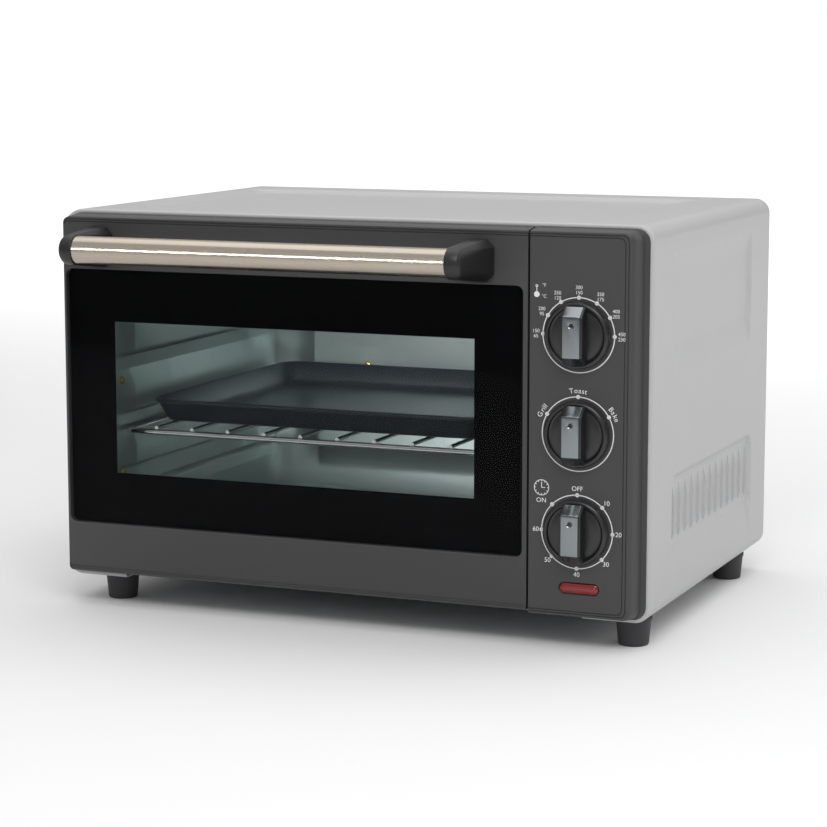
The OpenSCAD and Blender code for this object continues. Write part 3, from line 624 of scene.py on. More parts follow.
@dataclass
class OuterShell:
    """The wrap-over sheet with its pressed panels, louvres and rear screws."""

    corner: float = 8.0
    left_corner: float = 13.0
    sheet: float = 0.8
    hem: float = 0.85
    flange: float = 38.0
    louvre_count: int = 13
    louvre_z: tuple[float, float] = (53.9, 83.3)
    louvre_y: tuple[float, float] = (58.5, 210.7)
    louvre_height: float = 1.4
    louvre_width: float = 5.6
    louvre_fade: float = 4.0
    mouth: float = 0.3
    slit: float = 0.4
    slit_back: float = 0.1
    slit_margin: float = 5
    top: Pressing = field(default_factory=lambda: Pressing(-155, 57, 140, 228, 12, 2.2, 3.2))
    upper: Pressing = field(default_factory=lambda: Pressing(49, 158, 213, 210, 12, 2.2, 3.2))
    lower: Pressing = field(default_factory=lambda: Pressing(51, 43, 220, 92, 10, 2.2, 3.2))

    def lines(self) -> list[ShellLine]:
        """Lays out the lines round the shell, from the left flange over the top to the right one."""
        lo, hi, r, left = SHELL.lo, SHELL.hi, self.corner, self.left_corner
        heights = [self.upper.v0, self.upper.v1, self.lower.v0, self.lower.v1, *self.louvre_z]
        left_heights = stations(lo.z + r, hi.z - left, heights[:4])
        right_heights = stations(lo.z + r, hi.z - r, heights)
        across = stations(lo.x + left, hi.x - r, [self.top.u0, self.top.u1])
        found = [ShellLine(lo.x + self.flange, lo.z, 0, -1, "bottom", 0)]

        def corner(cx: float, cz: float, start: float, radius: float) -> None:
            """Adds the lines round one corner, a quarter turn back from its start angle."""
            for k in range(11):
                a = math.radians(start - k * 90 / 10)
                found.append(ShellLine(cx + radius * math.cos(a), cz + radius * math.sin(a), math.cos(a),
                                       math.sin(a), "corner", 0))

        corner(lo.x + r, lo.z + r, 270, r)
        found.extend(ShellLine(lo.x, z, -1, 0, "side", z) for z in left_heights[1:-1])
        corner(lo.x + left, hi.z - left, 180, left)
        found.extend(ShellLine(x, hi.z, 0, 1, "top", x) for x in across[1:-1])
        corner(hi.x - r, hi.z - r, 90, r)
        found.extend(ShellLine(hi.x, z, 1, 0, "right", z) for z in reversed(right_heights[1:-1]))
        corner(hi.x - r, lo.z + r, 0, r)
        found.append(ShellLine(hi.x - self.flange, lo.z, 0, -1, "bottom", 0))
        return found

    @property
    def pitch(self) -> float:
        """The distance from one louvre to the next."""
        return (self.louvre_y[1] - self.louvre_y[0]) / (self.louvre_count - 1)

    def louvre_stations(self) -> list[float]:
        """Lists the grid lines that follow each louvre's hood."""
        found = []
        for i in range(self.louvre_count):
            lip = self.louvre_y[0] + i * self.pitch
            found.append(FACE_Y + lip)
            found.extend(FACE_Y + lip + self.mouth + (self.louvre_width - self.mouth) * t
                         for t in (0.0, 0.25, 0.5, 0.75, 1.0))
        return found

    def louvre_rise(self, y: float, z: float) -> float:
        """Gives how far a louvre's hood stands out: steep at its mouth, and falling away behind it."""
        near = math.floor((y - self.louvre_y[0]) / self.pitch + 1e-6)
        if not 0 <= near < self.louvre_count:
            return 0.0
        behind = y - self.louvre_y[0] - near * self.pitch
        if behind > self.louvre_width:
            return 0.0
        rise = min(behind / self.mouth, 1 - (behind - self.mouth) / (self.louvre_width - self.mouth))
        edge = min(z - self.louvre_z[0], self.louvre_z[1] - z)
        return self.louvre_height * rise * math.sqrt(min(max(edge / self.louvre_fade, 0.0), 1.0))

    def inward(self, line: ShellLine, y: float) -> float:
        """Gives how far the sheet lies inside the shell's outline at a point."""
        at = y - FACE_Y
        if line.side == "top":
            return self.top.depth_at(line.u, at)
        if line.side in ("side", "right"):
            depth = self.upper.depth_at(at, line.u) + self.lower.depth_at(at, line.u)
            if line.side == "right":
                depth -= self.louvre_rise(at, line.u)
            return max(depth, 0.0)
        return 0.0

    def mesh(self) -> bpy.types.Mesh:
        """Builds the sheet and gives it its thickness."""
        edges = [self.top.v0, self.top.v1, self.upper.u0, self.upper.u1, self.lower.u0, self.lower.u1]
        ys = stations(SHELL.lo.y + 3, SHELL.hi.y, [FACE_Y + e for e in edges])
        exact = self.louvre_stations()
        kept = sorted([y for y in ys if all(abs(y - e) > 0.5 for e in exact)] + exact)
        h = self.hem
        fold = [(SHELL.lo.y + h * (1 - math.sin(math.radians(a))), h * (1 - math.cos(math.radians(a))))
                for a in range(180, -1, -20)]
        bm = bmesh.new()
        lines = self.lines()
        rows = []
        for y, tucked in [(SHELL.lo.y + 3.2, 2 * h)] + fold + [(y, 0.0) for y in kept]:
            row = []
            for line in lines:
                d = tucked or self.inward(line, y)
                row.append(bm.verts.new((line.x - line.normal_x * d, y, line.z - line.normal_z * d)))
            rows.append(row)
        for a, b in zip(rows, rows[1:]):
            for j in range(len(lines) - 1):
                bm.faces.new((a[j], b[j], b[j + 1], a[j + 1]))
        mesh = mesh_from(bm, fix_normals=False)
        return with_modifier(mesh, "SOLIDIFY", thickness=self.sheet * MM, offset=-1.0)

    def build(self) -> None:
        """Builds the shell and its rear screws."""
        mesh = self.mesh()
        start = Vector((SHELL.hi.x - 1.0, FACE_Y + self.louvre_y[0] + self.slit_back,
                        sum(self.louvre_z) / 2))
        tree = row_of_slots()
        mesh = run_tree(mesh, tree, {
            "Count": self.louvre_count, "Pitch": self.pitch * MM, "Start": start * MM,
            "Width": self.slit * MM, "Height": (self.louvre_z[1] - self.louvre_z[0] - self.slit_margin) * MM,
            "Depth": 8 * MM}, POWDER_COAT)
        place("outer_shell_pressed", mesh, POWDER_COAT, "cabinet", ["outer_shell"])
        at = span("rear_screws")
        head = pan_head(3.2, 2.0)
        grid = {"Size X": (at.size.x - 6.4) * MM, "Size Z": (at.size.z - 6.4) * MM,
                "Centre": Vector((at.mid.x, at.hi.y - 2.0, at.mid.z)) * MM}
        place("rear_screw_heads", run_tree(head, four_corners(), grid, ZINC_PLATED), ZINC_PLATED,
              "cabinet", ["rear_screws"])


# ---- Geometry node trees ----------------------------------------------------------------------------


def new_tree(name: str, inputs: dict[str, str]) -> tuple[bpy.types.NodeTree, bpy.types.Node]:
    """Starts a geometry node tree.

    Args:
        name: the tree's name.
        inputs: each input's name and socket type, after the geometry.

    Returns:
        The tree and its input node.
    """
    tree = bpy.data.node_groups.new(name, "GeometryNodeTree")
    tree.interface.new_socket(name="Geometry", in_out="OUTPUT", socket_type="NodeSocketGeometry")
    tree.interface.new_socket(name="Geometry", in_out="INPUT", socket_type="NodeSocketGeometry")
    for label, kind in {**inputs, "Finish": "NodeSocketMaterial"}.items():
        tree.interface.new_socket(name=label, in_out="INPUT", socket_type=kind)
    return tree, add_node(tree, "NodeGroupInput")


def end_tree(tree: bpy.types.NodeTree, start: bpy.types.Node, shape: Socket) -> bpy.types.NodeTree:
    """Ends a tree with its instances made real and its material set."""
    real = add_node(tree, "GeometryNodeRealizeInstances", None, {"Geometry": shape})
    dressed = add_node(tree, "GeometryNodeSetMaterial", None,
                       {"Geometry": real.outputs[0], "Material": start.outputs["Finish"]})
    add_node(tree, "NodeGroupOutput", None, {"Geometry": dressed.outputs[0]})
    return tree


def run_tree(mesh: Optional[bpy.types.Mesh], tree: bpy.types.NodeTree, values: dict,
             finish: Finish) -> bpy.types.Mesh:
    """Runs a tree over a mesh.

    Args:
        mesh: the mesh that goes in, or None for an empty one.
        tree: the geometry node tree.
        values: a value for each of the tree's inputs, by name.
        finish: the finish that the tree sets.

    Returns:
        The plain mesh that comes out.
    """
    obj = stand_in(mesh or bpy.data.meshes.new("work"))
    modifier = obj.modifiers.new("work", "NODES")
    modifier.node_group = tree
    given = {**values, "Finish": PAINTS.get(finish)}
    for item in tree.interface.items_tree:
        if item.in_out == "INPUT" and item.name in given:
            modifier[item.identifier] = given[item.name]
    return evaluated(obj)


def row_of_slots() -> bpy.types.NodeTree:
    """Builds the tree that cuts a row of upright slots through a sheet that faces +X."""
    tree, start = new_tree("row_of_slots", {
        "Count": "NodeSocketInt", "Pitch": "NodeSocketFloat", "Start": "NodeSocketVector",
        "Width": "NodeSocketFloat", "Height": "NodeSocketFloat", "Depth": "NodeSocketFloat"})
    get = start.outputs
    step = add_node(tree, "ShaderNodeCombineXYZ", None, {"Y": get["Pitch"]})
    line = add_node(tree, "GeometryNodeMeshLine", {"mode": "OFFSET"},
                    {"Count": get["Count"], "Start Location": get["Start"], "Offset": step.outputs[0]})
    size = add_node(tree, "ShaderNodeCombineXYZ", None,
                    {"X": get["Depth"], "Y": get["Width"], "Z": get["Height"]})
    cutter = add_node(tree, "GeometryNodeMeshCube", None, {"Size": size.outputs[0]})
    row = add_node(tree, "GeometryNodeInstanceOnPoints", None,
                   {"Points": line.outputs[0], "Instance": cutter.outputs["Mesh"]})
    cutters = add_node(tree, "GeometryNodeRealizeInstances", None, {"Geometry": row.outputs[0]})
    cut = add_node(tree, "GeometryNodeMeshBoolean", {"operation": "DIFFERENCE", "solver": "MANIFOLD"},
                   {"Mesh 1": get["Geometry"], "Mesh 2": cutters.outputs[0]})
    return end_tree(tree, start, cut.outputs["Mesh"])


def four_corners() -> bpy.types.NodeTree:
    """Builds the tree that sets a copy of its geometry at the corners of an upright rectangle."""
    tree, start = new_tree("four_corners", {
        "Size X": "NodeSocketFloat", "Size Z": "NodeSocketFloat", "Centre": "NodeSocketVector"})
    get = start.outputs
    grid = add_node(tree, "GeometryNodeMeshGrid", None,
                    {"Size X": get["Size X"], "Size Y": get["Size Z"], "Vertices X": 2, "Vertices Y": 2})
    upright = add_node(tree, "GeometryNodeTransform", None,
                       {"Geometry": grid.outputs["Mesh"], "Translation": get["Centre"],
                        "Rotation": (math.pi / 2, 0.0, 0.0)})
    points = add_node(tree, "GeometryNodeMeshToPoints", None, {"Mesh": upright.outputs[0]})
    heads = add_node(tree, "GeometryNodeInstanceOnPoints", None,
                     {"Points": points.outputs[0], "Instance": get["Geometry"]})
    return end_tree(tree, start, heads.outputs[0])


def row_of_bars() -> bpy.types.NodeTree:
    """Builds the tree that lays a row of round bars side by side, adding them to its geometry."""
    tree, start = new_tree("row_of_bars", {
        "Count": "NodeSocketInt", "Pitch": "NodeSocketFloat", "Start": "NodeSocketVector",
        "Length": "NodeSocketFloat", "Radius": "NodeSocketFloat"})
    get = start.outputs
    end = add_node(tree, "ShaderNodeCombineXYZ", None, {"Y": get["Length"]})
    path = add_node(tree, "GeometryNodeCurvePrimitiveLine", None, {"End": end.outputs[0]})
    ring = add_node(tree, "GeometryNodeCurvePrimitiveCircle", None,
                    {"Resolution": 12, "Radius": get["Radius"]})
    bar = add_node(tree, "GeometryNodeCurveToMesh", None,
                   {"Curve": path.outputs[0], "Profile Curve": ring.outputs[0], "Fill Caps": True})
    step = add_node(tree, "ShaderNodeCombineXYZ", None, {"X": get["Pitch"]})
    line = add_node(tree, "GeometryNodeMeshLine", {"mode": "OFFSET"},
                    {"Count": get["Count"], "Start Location": get["Start"], "Offset": step.outputs[0]})
    bars = add_node(tree, "GeometryNodeInstanceOnPoints", None,
                    {"Points": line.outputs[0], "Instance": bar.outputs[0]})
    both = add_node(tree, "GeometryNodeJoinGeometry", None, {"Geometry": bars.outputs[0]})
    tree.links.new(get["Geometry"], both.inputs["Geometry"])
    return end_tree(tree, start, both.outputs[0])


def arc_of_dots() -> bpy.types.NodeTree:
    """Builds the tree that sets round dots along an arc on the upright front face."""
    tree, start = new_tree("arc_of_dots", {
        "Count": "NodeSocketInt", "Radius": "NodeSocketFloat", "First": "NodeSocketFloat",
        "Sweep": "NodeSocketFloat", "Dot": "NodeSocketFloat", "Thickness": "NodeSocketFloat",
        "Centre": "NodeSocketVector"})
    get = start.outputs
    arc = add_node(tree, "GeometryNodeCurveArc", None,
                   {"Resolution": get["Count"], "Radius": get["Radius"], "Start Angle": get["First"],
                    "Sweep Angle": get["Sweep"]})
    points = add_node(tree, "GeometryNodeCurveToPoints", {"mode": "EVALUATED"}, {"Curve": arc.outputs[0]})
    dot = add_node(tree, "GeometryNodeMeshCylinder", None,
                   {"Vertices": 20, "Radius": get["Dot"], "Depth": get["Thickness"]})
    dots = add_node(tree, "GeometryNodeInstanceOnPoints", None,
                    {"Points": points.outputs[0], "Instance": dot.outputs["Mesh"]})
    upright = add_node(tree, "GeometryNodeTransform", None,
                       {"Geometry": dots.outputs[0], "Translation": get["Centre"],
                        "Rotation": (math.pi / 2, 0.0, 0.0)})
    return end_tree(tree, start, upright.outputs[0])


def pan_head(radius: float, height: float) -> bpy.types.Mesh:
    """Makes a cross-slotted pan head that faces +Y, centred on the origin."""
    profile = [(radius, 0), (radius, height * 0.35), (radius * 0.86, height * 0.75),
               (radius * 0.5, height * 0.97), (0, height)]
    head = lathe(profile, Vector((0, 0, 0)), Vector((0, 1, 0)), 28)
    long, wide, deep = radius * 0.62, radius * 0.14, height * 0.45
    for a, b in ((long, wide), (wide, long)):
        head = combined(head, block((-a, deep, -b), (a, height + 1, b)), "DIFFERENCE")
    return head


# ---- Door and control panel -------------------------------------------------------------------------


@dataclass(frozen=True)
class EdgeStep:
    """A step of the front moulding's edge: how far in from the rim, and how far behind the face."""

    side: float
    top: float
    back: float


# From the rim at the shell: a narrow flange, a steep wall, a round shoulder and the flat face.
EDGE_STEPS = tuple(EdgeStep(*step) for step in (
    (0.3, 0.2, 12.4), (0.0, 0.0, 12.0), (0.05, 0.0, 11.4), (0.4, 0.1, 11.1), (1.8, 0.3, 10.95),
    (2.7, 0.45, 10.75), (2.95, 0.5, 10.2), (3.5, 0.65, 8.0), (4.2, 0.9, 5.2), (4.8, 1.1, 3.4),
    (5.2, 1.2, 2.3), (5.8, 1.35, 1.2), (6.6, 1.6, 0.45), (7.3, 1.85, 0.1), (7.7, 2.0, 0.0)))
GROOVES = tuple(EdgeStep(*step) for step in (
    (7.8, 2.8, 0.0), (7.95, 2.95, 0.5), (8.3, 3.3, 0.5), (8.5, 3.5, 0.0), (9.7, 4.1, 0.0), (9.85, 4.25, 0.5),
    (10.2, 4.6, 0.5), (10.4, 4.8, 0.0)))


@dataclass
class DoorMoulding:
    """The door's frame, with the ledge that holds the glass."""

    rim_corner: float = 12.0
    face_corner: float = 3.5
    split_corner: float = 0.3
    rim_top: float = 1.2
    left_edge: float = 3.5
    hinge_round: float = 5.2
    glass_bead: tuple[tuple[float, float], ...] = ((1.3, 0.0), (1.0, -0.18), (0.5, -0.22), (0.15, 0.0),
                                                   (0.1, 0.6))
    glass_gap: float = 0.1
    window: tuple[float, float, float, float] = (-160, 62, 100, 187)
    pin_length: float = 17.8
    ear: float = 1.8
    ear_gap: float = 1.6
    skin: float = 2.2
    cut_depth: float = 20.0
    notch_height: float = 11.4
    arm_gap: float = 0.1
    arm_slot_z: tuple[float, float] = (58, 82)

    def lower_edge(self, back: float) -> float:
        """Gives the height of the lower edge, which is round about the hinge, at a depth."""
        hinge_back = span("hinge_pins").mid.y - FACE_Y
        lowest = DOOR.lo.z
        if back > hinge_back:
            drop = back - hinge_back
            return lowest + self.hinge_round - math.sqrt(max(self.hinge_round ** 2 - drop ** 2, 0.0))
        soft = 0.6
        if back < soft:
            return lowest + soft - math.sqrt(max(soft ** 2 - (soft - back) ** 2, 0.0))
        return lowest

    def outline(self, index: int, step: EdgeStep) -> Loop:
        """Draws the moulding's outline at one step of its edge."""
        back = step.back * (DOOR.hi.y - FACE_Y) / EDGE_STEPS[0].back
        left = DOOR.lo.x + min(0.5 * step.side, self.left_edge) + 0.005 * index
        low = self.lower_edge(back) + max(0.0, step.top - EDGE_STEPS[-1].top) + 0.002 * index
        share = min(step.side / EDGE_STEPS[-1].side, 1.0)
        radius = self.rim_corner + (self.face_corner - self.rim_corner) * share
        return rounded_loop(left, low, DOOR.hi.x, SHELL.hi.z - self.rim_top - step.top,
                            (2.5, self.split_corner, self.split_corner, radius), FACE_Y + back)

    def mesh(self) -> bpy.types.Mesh:
        """Skins the moulding from its rim over the face to the glass, and closes it behind."""
        glass = span("door_glass")
        loops = [self.outline(i, step) for i, step in enumerate(EDGE_STEPS + GROOVES)]
        ledge_back = span("door_glass_mask").hi.y - FACE_Y
        for grow, back in (*self.glass_bead, (self.glass_gap, ledge_back)):
            loops.append(rounded_loop(glass.lo.x - grow, glass.lo.z - grow, glass.hi.x + grow,
                                      glass.hi.z + grow, [4 + grow] * 4, FACE_Y + back))
        for back in (ledge_back, DOOR.hi.y - FACE_Y):
            loops.append(rounded_loop(*self.window, [4] * 4, FACE_Y + back))
        bm = bmesh.new()
        loft(bm, loops, ring=True)
        return mesh_from(bm)

    def build(self) -> None:
        """Builds the frame and cuts the notches for the hinge ears and the arms."""
        mesh = self.mesh()
        pins, arms = span("hinge_pins"), (span("door_arm_left"), span("door_arm_right"))
        half = self.ear / 2 + self.ear_gap
        for x in (pins.lo.x + self.pin_length / 2, pins.hi.x - self.pin_length / 2):
            notch = block((x - half, FACE_Y + self.skin, DOOR.lo.z - 2),
                          (x + half, FACE_Y + self.cut_depth, DOOR.lo.z + self.notch_height))
            mesh = combined(mesh, notch, "DIFFERENCE")
        for arm in arms:
            slot = block((arm.lo.x - self.arm_gap, arm.lo.y, self.arm_slot_z[0]),
                         (arm.hi.x + self.arm_gap, FACE_Y + self.cut_depth, self.arm_slot_z[1]))
            mesh = combined(mesh, slot, "DIFFERENCE")
        place("door_frame_moulding", mesh, SATIN_ABS, "door", ["door_frame"])


@dataclass
class GlassPane:
    """The tempered pane, with a polished edge."""

    edge: float = 0.5
    corner: float = 3.9
    arris: float = 0.15

    def build(self) -> None:
        """Builds the pane."""
        pane = span("door_glass")
        loops = []
        for grow, y in ((-self.edge, pane.lo.y), (-self.arris, pane.lo.y + self.arris),
                        (0, pane.lo.y + self.edge), (0, pane.hi.y - self.edge),
                        (-self.arris, pane.hi.y - self.arris), (-self.edge, pane.hi.y)):
            loops.append(rounded_loop(pane.lo.x - grow, pane.lo.z - grow, pane.hi.x + grow, pane.hi.z + grow,
                                      [self.corner + grow] * 4, y))
        bm = bmesh.new()
        loft(bm, loops)
        place("door_glass_pane", mesh_from(bm), TEMPERED_GLASS, "door", ["door_glass"])


@dataclass
class Handle:
    """The bar handle: a brushed tube between two moulded mounts."""

    wall: float = 0.8
    cap_grow: float = 0.9
    cap_length: float = 9.0
    cap_sides: int = 40
    foot_cut: float = 4.0
    foot_depth: float = 3.0
    seat_gap: float = 0.05

    def bar(self) -> bpy.types.Mesh:
        """Turns the tube, with a softened rim at each end."""
        at = span("handle_bar")
        r, length, soft = at.size.z / 2, at.size.x, 0.25
        inner = r - self.wall
        profile = [(inner, 0), (r - soft, 0), (r, soft), (r, length / 2), (r, length - soft),
                   (r - soft, length), (inner, length)]
        centre = Vector((at.lo.x, at.mid.y, at.mid.z))
        return lathe(profile, centre, Vector((1, 0, 0)), 64, closed=True)

    def mount(self, node: str, side: int) -> bpy.types.Mesh:
        """Shapes a mount from its eight-sided foot to the round cap.

        Args:
            node: the mount's node.
            side: -1 for the left mount and 1 for the right one.

        Returns:
            The mount.
        """
        at, bar = span(node), span("handle_bar")
        w, h, c = at.size.x / 2, at.size.z / 2, self.foot_cut
        outline = ((-w, c - h), (c - w, -h), (w - c, -h), (w, c - h), (w, h - c), (w - c, h), (c - w, h),
                   (-w, h - c))
        bm = bmesh.new()
        for y in (at.hi.y, at.hi.y - self.foot_depth):
            for x, z in outline:
                bm.verts.new((at.mid.x + x, y, at.mid.z + z))
        radius = bar.size.z / 2 + self.cap_grow
        inner = bar.hi.x if side > 0 else bar.lo.x
        length = at.hi.x - inner if side > 0 else inner - at.lo.x
        length = min(length, self.cap_length)
        for out, r in ((0.0, radius - 0.4), (0.4, radius), (length * 0.55, radius),
                       (length * 0.8, radius - 0.8), (length * 0.94, radius - 2.0), (length, radius - 3.4)):
            for k in range(self.cap_sides):
                a = 2 * math.pi * k / self.cap_sides
                bm.verts.new((inner + side * out, bar.mid.y + r * math.cos(a), bar.mid.z + r * math.sin(a)))
        hull = bmesh.ops.convex_hull(bm, input=bm.verts)
        loose = set(hull["geom_interior"] + hull["geom_unused"])
        bmesh.ops.delete(bm, geom=[g for g in loose if isinstance(g, bmesh.types.BMVert)], context="VERTS")
        bmesh.ops.dissolve_limit(bm, angle_limit=math.radians(3), verts=bm.verts, edges=bm.edges)
        mesh = with_modifier(mesh_from(bm), "BEVEL", width=0.5 * MM, segments=3, limit_method="ANGLE",
                             angle_limit=math.radians(24))
        bore = bar.size.z / 2 + self.seat_gap
        seat = lathe([(bore, 0), (bore, bar.size.x)], Vector((bar.lo.x, bar.mid.y, bar.mid.z)),
                     Vector((1, 0, 0)), 64)
        return combined(mesh, seat, "DIFFERENCE")

    def build(self) -> None:
        """Builds the bar and both mounts."""
        place("handle_bar_tube", self.bar(), BRUSHED_TUBE, "door", ["handle_bar"])
        for node, side in (("handle_mount_left", -1), ("handle_mount_right", 1)):
            place(f"{node}_moulding", self.mount(node, side), BLACK_NYLON, "door", [node],
                  sharp_deg=20)


@dataclass
class PanelMoulding:
    """The control panel: the front moulding's right part, with holes for the shafts and the lamp."""

    rim_corner: float = 7.5
    face_corner: float = 3.5
    split_corner: float = 0.3
    wall: float = 2.5
    shaft_hole: float = 5.0
    lamp_half: tuple[float, float] = (11.4, 3.1)
    lamp_corner: float = 3.08
    lamp_chamfer: float = 0.45

    def outline(self, step: EdgeStep) -> Loop:
        """Draws the panel's outline at one step of its edge."""
        share = min(step.side / EDGE_STEPS[-1].side, 1.0)
        radius = self.rim_corner + (self.face_corner - self.rim_corner) * share
        return rounded_loop(PANEL.lo.x, PANEL.lo.z + step.top, PANEL.hi.x - step.side, PANEL.hi.z - step.top,
                            (self.split_corner, radius, radius, self.split_corner), FACE_Y + step.back)

    def build(self) -> None:
        """Builds the panel and opens its holes."""
        loops = [self.outline(step) for step in EDGE_STEPS + GROOVES]
        inner = (PANEL.lo.x + 2, PANEL.lo.z + 5, PANEL.hi.x - 7, PANEL.hi.z - 5)
        floor = rounded_loop(*inner, [3] * 4, FACE_Y + self.wall)
        mouth = rounded_loop(*inner, [3] * 4, PANEL.hi.y)
        bm = bmesh.new()
        loft(bm, [floor, mouth] + loops)
        mesh = mesh_from(bm)
        for knob in KNOBS:
            centre = Vector((knob.centre.x, FACE_Y - 2, knob.centre.z))
            hole = lathe([(self.shaft_hole, 0), (self.shaft_hole, 8)], centre, Vector((0, 1, 0)), 40)
            mesh = combined(mesh, hole, "DIFFERENCE")
        lamp = span("lamp_lens")
        half = Vector((self.lamp_half[0], 0, self.lamp_half[1]))
        wide = self.lamp_chamfer
        bm = bmesh.new()
        loft(bm, [rounded_loop(lamp.mid.x - half.x - g, lamp.mid.z - half.z - g, lamp.mid.x + half.x + g,
                               lamp.mid.z + half.z + g, [self.lamp_corner + g] * 4, FACE_Y + back)
                  for g, back in ((wide, -2), (wide, 0.5), (0.0, 0.9), (0.0, 5))])
        mesh = combined(mesh, mesh_from(bm), "DIFFERENCE")
        place("control_panel_moulding", mesh, SATIN_ABS, "cabinet", ["control_panel"])


# ---- Controls ---------------------------------------------------------------------------------------


@dataclass(frozen=True)
class Dial:
    """What is printed round a knob: its dots, and a legend at each angle from the top, clockwise."""

    first_deg: float
    step_deg: float
    legends: tuple[str, ...]
    curved: bool = False
    text_mm: float = 2.6
    reach: float = 24.5


# A knob's skirt from its foot to its dished face, as steps in from its radius and up from its foot.
SKIRT_STEPS = ((0.6, 0.0), (0.1, 0.3), (0.0, 0.9), (0.05, 3.3), (0.5, 4.1), (1.4, 4.6), (2.2, 4.5),
               (2.7, 4.0), (3.1, 3.3), (3.7, 3.1), (4.4, 3.2), (5.4, 3.5), (8.0, 3.9))
SKIRT_MIDDLE = 4.1
# The finger dimple in an inlay, as radius and depth.
DIMPLE = ((1.9, 0), (1.9, 0.98), (1.65, 1.2), (1.2, 1.42), (0.6, 1.58), (0, 1.63))


@dataclass
class Knob:
    """A control knob with its grip, its steel inlay and the dial printed round it."""

    node: str
    body: str
    dial: Dial
    grip_width: float = 12.2
    slope_run: float = 5.2
    slope_drop: float = 6.2
    ring_radius: float = 20.3
    ring_line: float = 0.58
    print_mm: float = 0.06
    spread: float = 1.08
    bed_depth: float = 0.4
    bed_gap: float = 0.1
    inlay_thick: float = 1.0
    dimple_up: float = 0.4

    @property
    def centre(self) -> Vector:
        """The knob's middle on the panel's face."""
        at = span(self.node)
        return Vector((at.mid.x, FACE_Y, at.mid.z))

    @property
    def radius(self) -> float:
        """The radius of the knob's skirt."""
        return span(self.node).size.x / 2

    def skirt(self) -> bpy.types.Mesh:
        """Turns the skirt with its dished face."""
        gap = FACE_Y - span(self.node).hi.y
        profile = [(self.radius - inward, gap + rise) for inward, rise in SKIRT_STEPS]
        profile.append((0, gap + SKIRT_MIDDLE))
        return lathe(profile, self.centre, Vector((0, -1, 0)), 96)

    def grip_outline(self, height: float, half: float) -> list[tuple[float, float]]:
        """Draws the grip's side: its place along Z from the middle, and its height off the face."""
        run, drop, bend = self.slope_run, self.slope_drop, 1.2
        points = [(-half, 2.0), (-half, height - drop)]
        points += [(-half + run - bend, height - bend * drop / run),
                   (-half + run - bend * 0.3, height - 0.12), (-half + run + bend * 0.6, height)]
        return points + [(-z, y) for z, y in reversed(points)]

    def bar(self, outline: Sequence[tuple[float, float]], width: float) -> bmesh.types.BMesh:
        """Extrudes a side outline across the grip's width."""
        bm = bmesh.new()
        sides = []
        for x in (-width / 2, width / 2):
            sides.append([Vector((self.centre.x + x, FACE_Y - y, self.centre.z + z)) for z, y in outline])
        loft(bm, sides)
        return bm

    def grip(self) -> bpy.types.Mesh:
        """Builds the grip bar with softened edges, and the bed for its inlay."""
        at = span(f"{self.node}_inlay")
        outline = self.grip_outline(FACE_Y - at.lo.y - self.bed_depth, at.size.z / 2 - self.bed_gap)
        mesh = mesh_from(self.bar(outline, self.grip_width))
        return with_modifier(mesh, "BEVEL", width=0.7 * MM, segments=3, limit_method="ANGLE",
                             angle_limit=math.radians(40))

    def inlay(self) -> bpy.types.Mesh:
        """Builds the steel strip that lies over the grip, with a finger dimple near its top."""
        at = span(f"{self.node}_inlay")
        top = FACE_Y - at.lo.y
        half = at.size.z / 2
        outer = self.grip_outline(top, half)[1:-1]
        inner = [(z, y - self.inlay_thick) for z, y in reversed(outer)]
        mesh = mesh_from(self.bar(outer + inner, at.size.x))
        mesh = with_modifier(mesh, "BEVEL", width=0.25 * MM, segments=2, limit_method="ANGLE",
                             angle_limit=math.radians(45))
        centre = Vector((self.centre.x, FACE_Y - top - 1.0, self.centre.z + half * self.dimple_up))
        return combined(mesh, lathe(list(DIMPLE), centre, Vector((0, 1, 0)), 28), "DIFFERENCE")

    def legend(self, text: str, angle_deg: float) -> list[bpy.types.Mesh]:
        """Sets one legend beside the ring.

        Args:
            text: what it says; a slash breaks the line.
            angle_deg: its angle from the top, clockwise.

        Returns:
            Its meshes.
        """
        angle = math.radians(angle_deg)
        if self.dial.curved:
            size = self.dial.text_mm
            widths = [text_width(text[:i + 1], size) for i in range(len(text))]
            found = []
            for i, letter in enumerate(text):
                middle = widths[i] - text_width(letter, size) / 2 - widths[-1] / 2
                a = angle + middle * self.spread / self.dial.reach
                at = self.centre + self.dial.reach * Vector((math.sin(a), 0, math.cos(a)))
                found.append(lettering(letter, at, size, self.print_mm, -a, baseline=True))
            return found
        at = self.centre + self.dial.reach * Vector((math.sin(angle), 0, math.cos(angle)))
        lines = text.split("/")
        drop = self.dial.text_mm * 1.02
        return [lettering(line, at + Vector((0, 0, ((len(lines) - 1) / 2 - i) * drop)), self.dial.text_mm,
                          self.print_mm) for i, line in enumerate(lines)]

    def dial_print(self) -> bpy.types.Mesh:
        """Prints the ring, the dots and the legends."""
        r, line = self.ring_radius, self.ring_line / 2
        profile = [(r - line, 0), (r + line, 0), (r + line, self.print_mm), (r - line, self.print_mm)]
        meshes = [lathe(profile, self.centre, Vector((0, -1, 0)), 128, closed=True)]
        count = len(self.dial.legends)
        last = self.dial.first_deg + self.dial.step_deg * (count - 1)
        meshes.append(run_tree(None, arc_of_dots(), {
            "Count": count, "Radius": r * MM, "First": math.radians(90 - last),
            "Sweep": math.radians(last - self.dial.first_deg), "Dot": 1.15 * MM,
            "Thickness": 2 * self.print_mm * MM, "Centre": self.centre * MM}, WHITE_INK))
        for i, text in enumerate(self.dial.legends):
            if text:
                meshes.extend(self.legend(text, self.dial.first_deg + i * self.dial.step_deg))
        return joined(meshes)

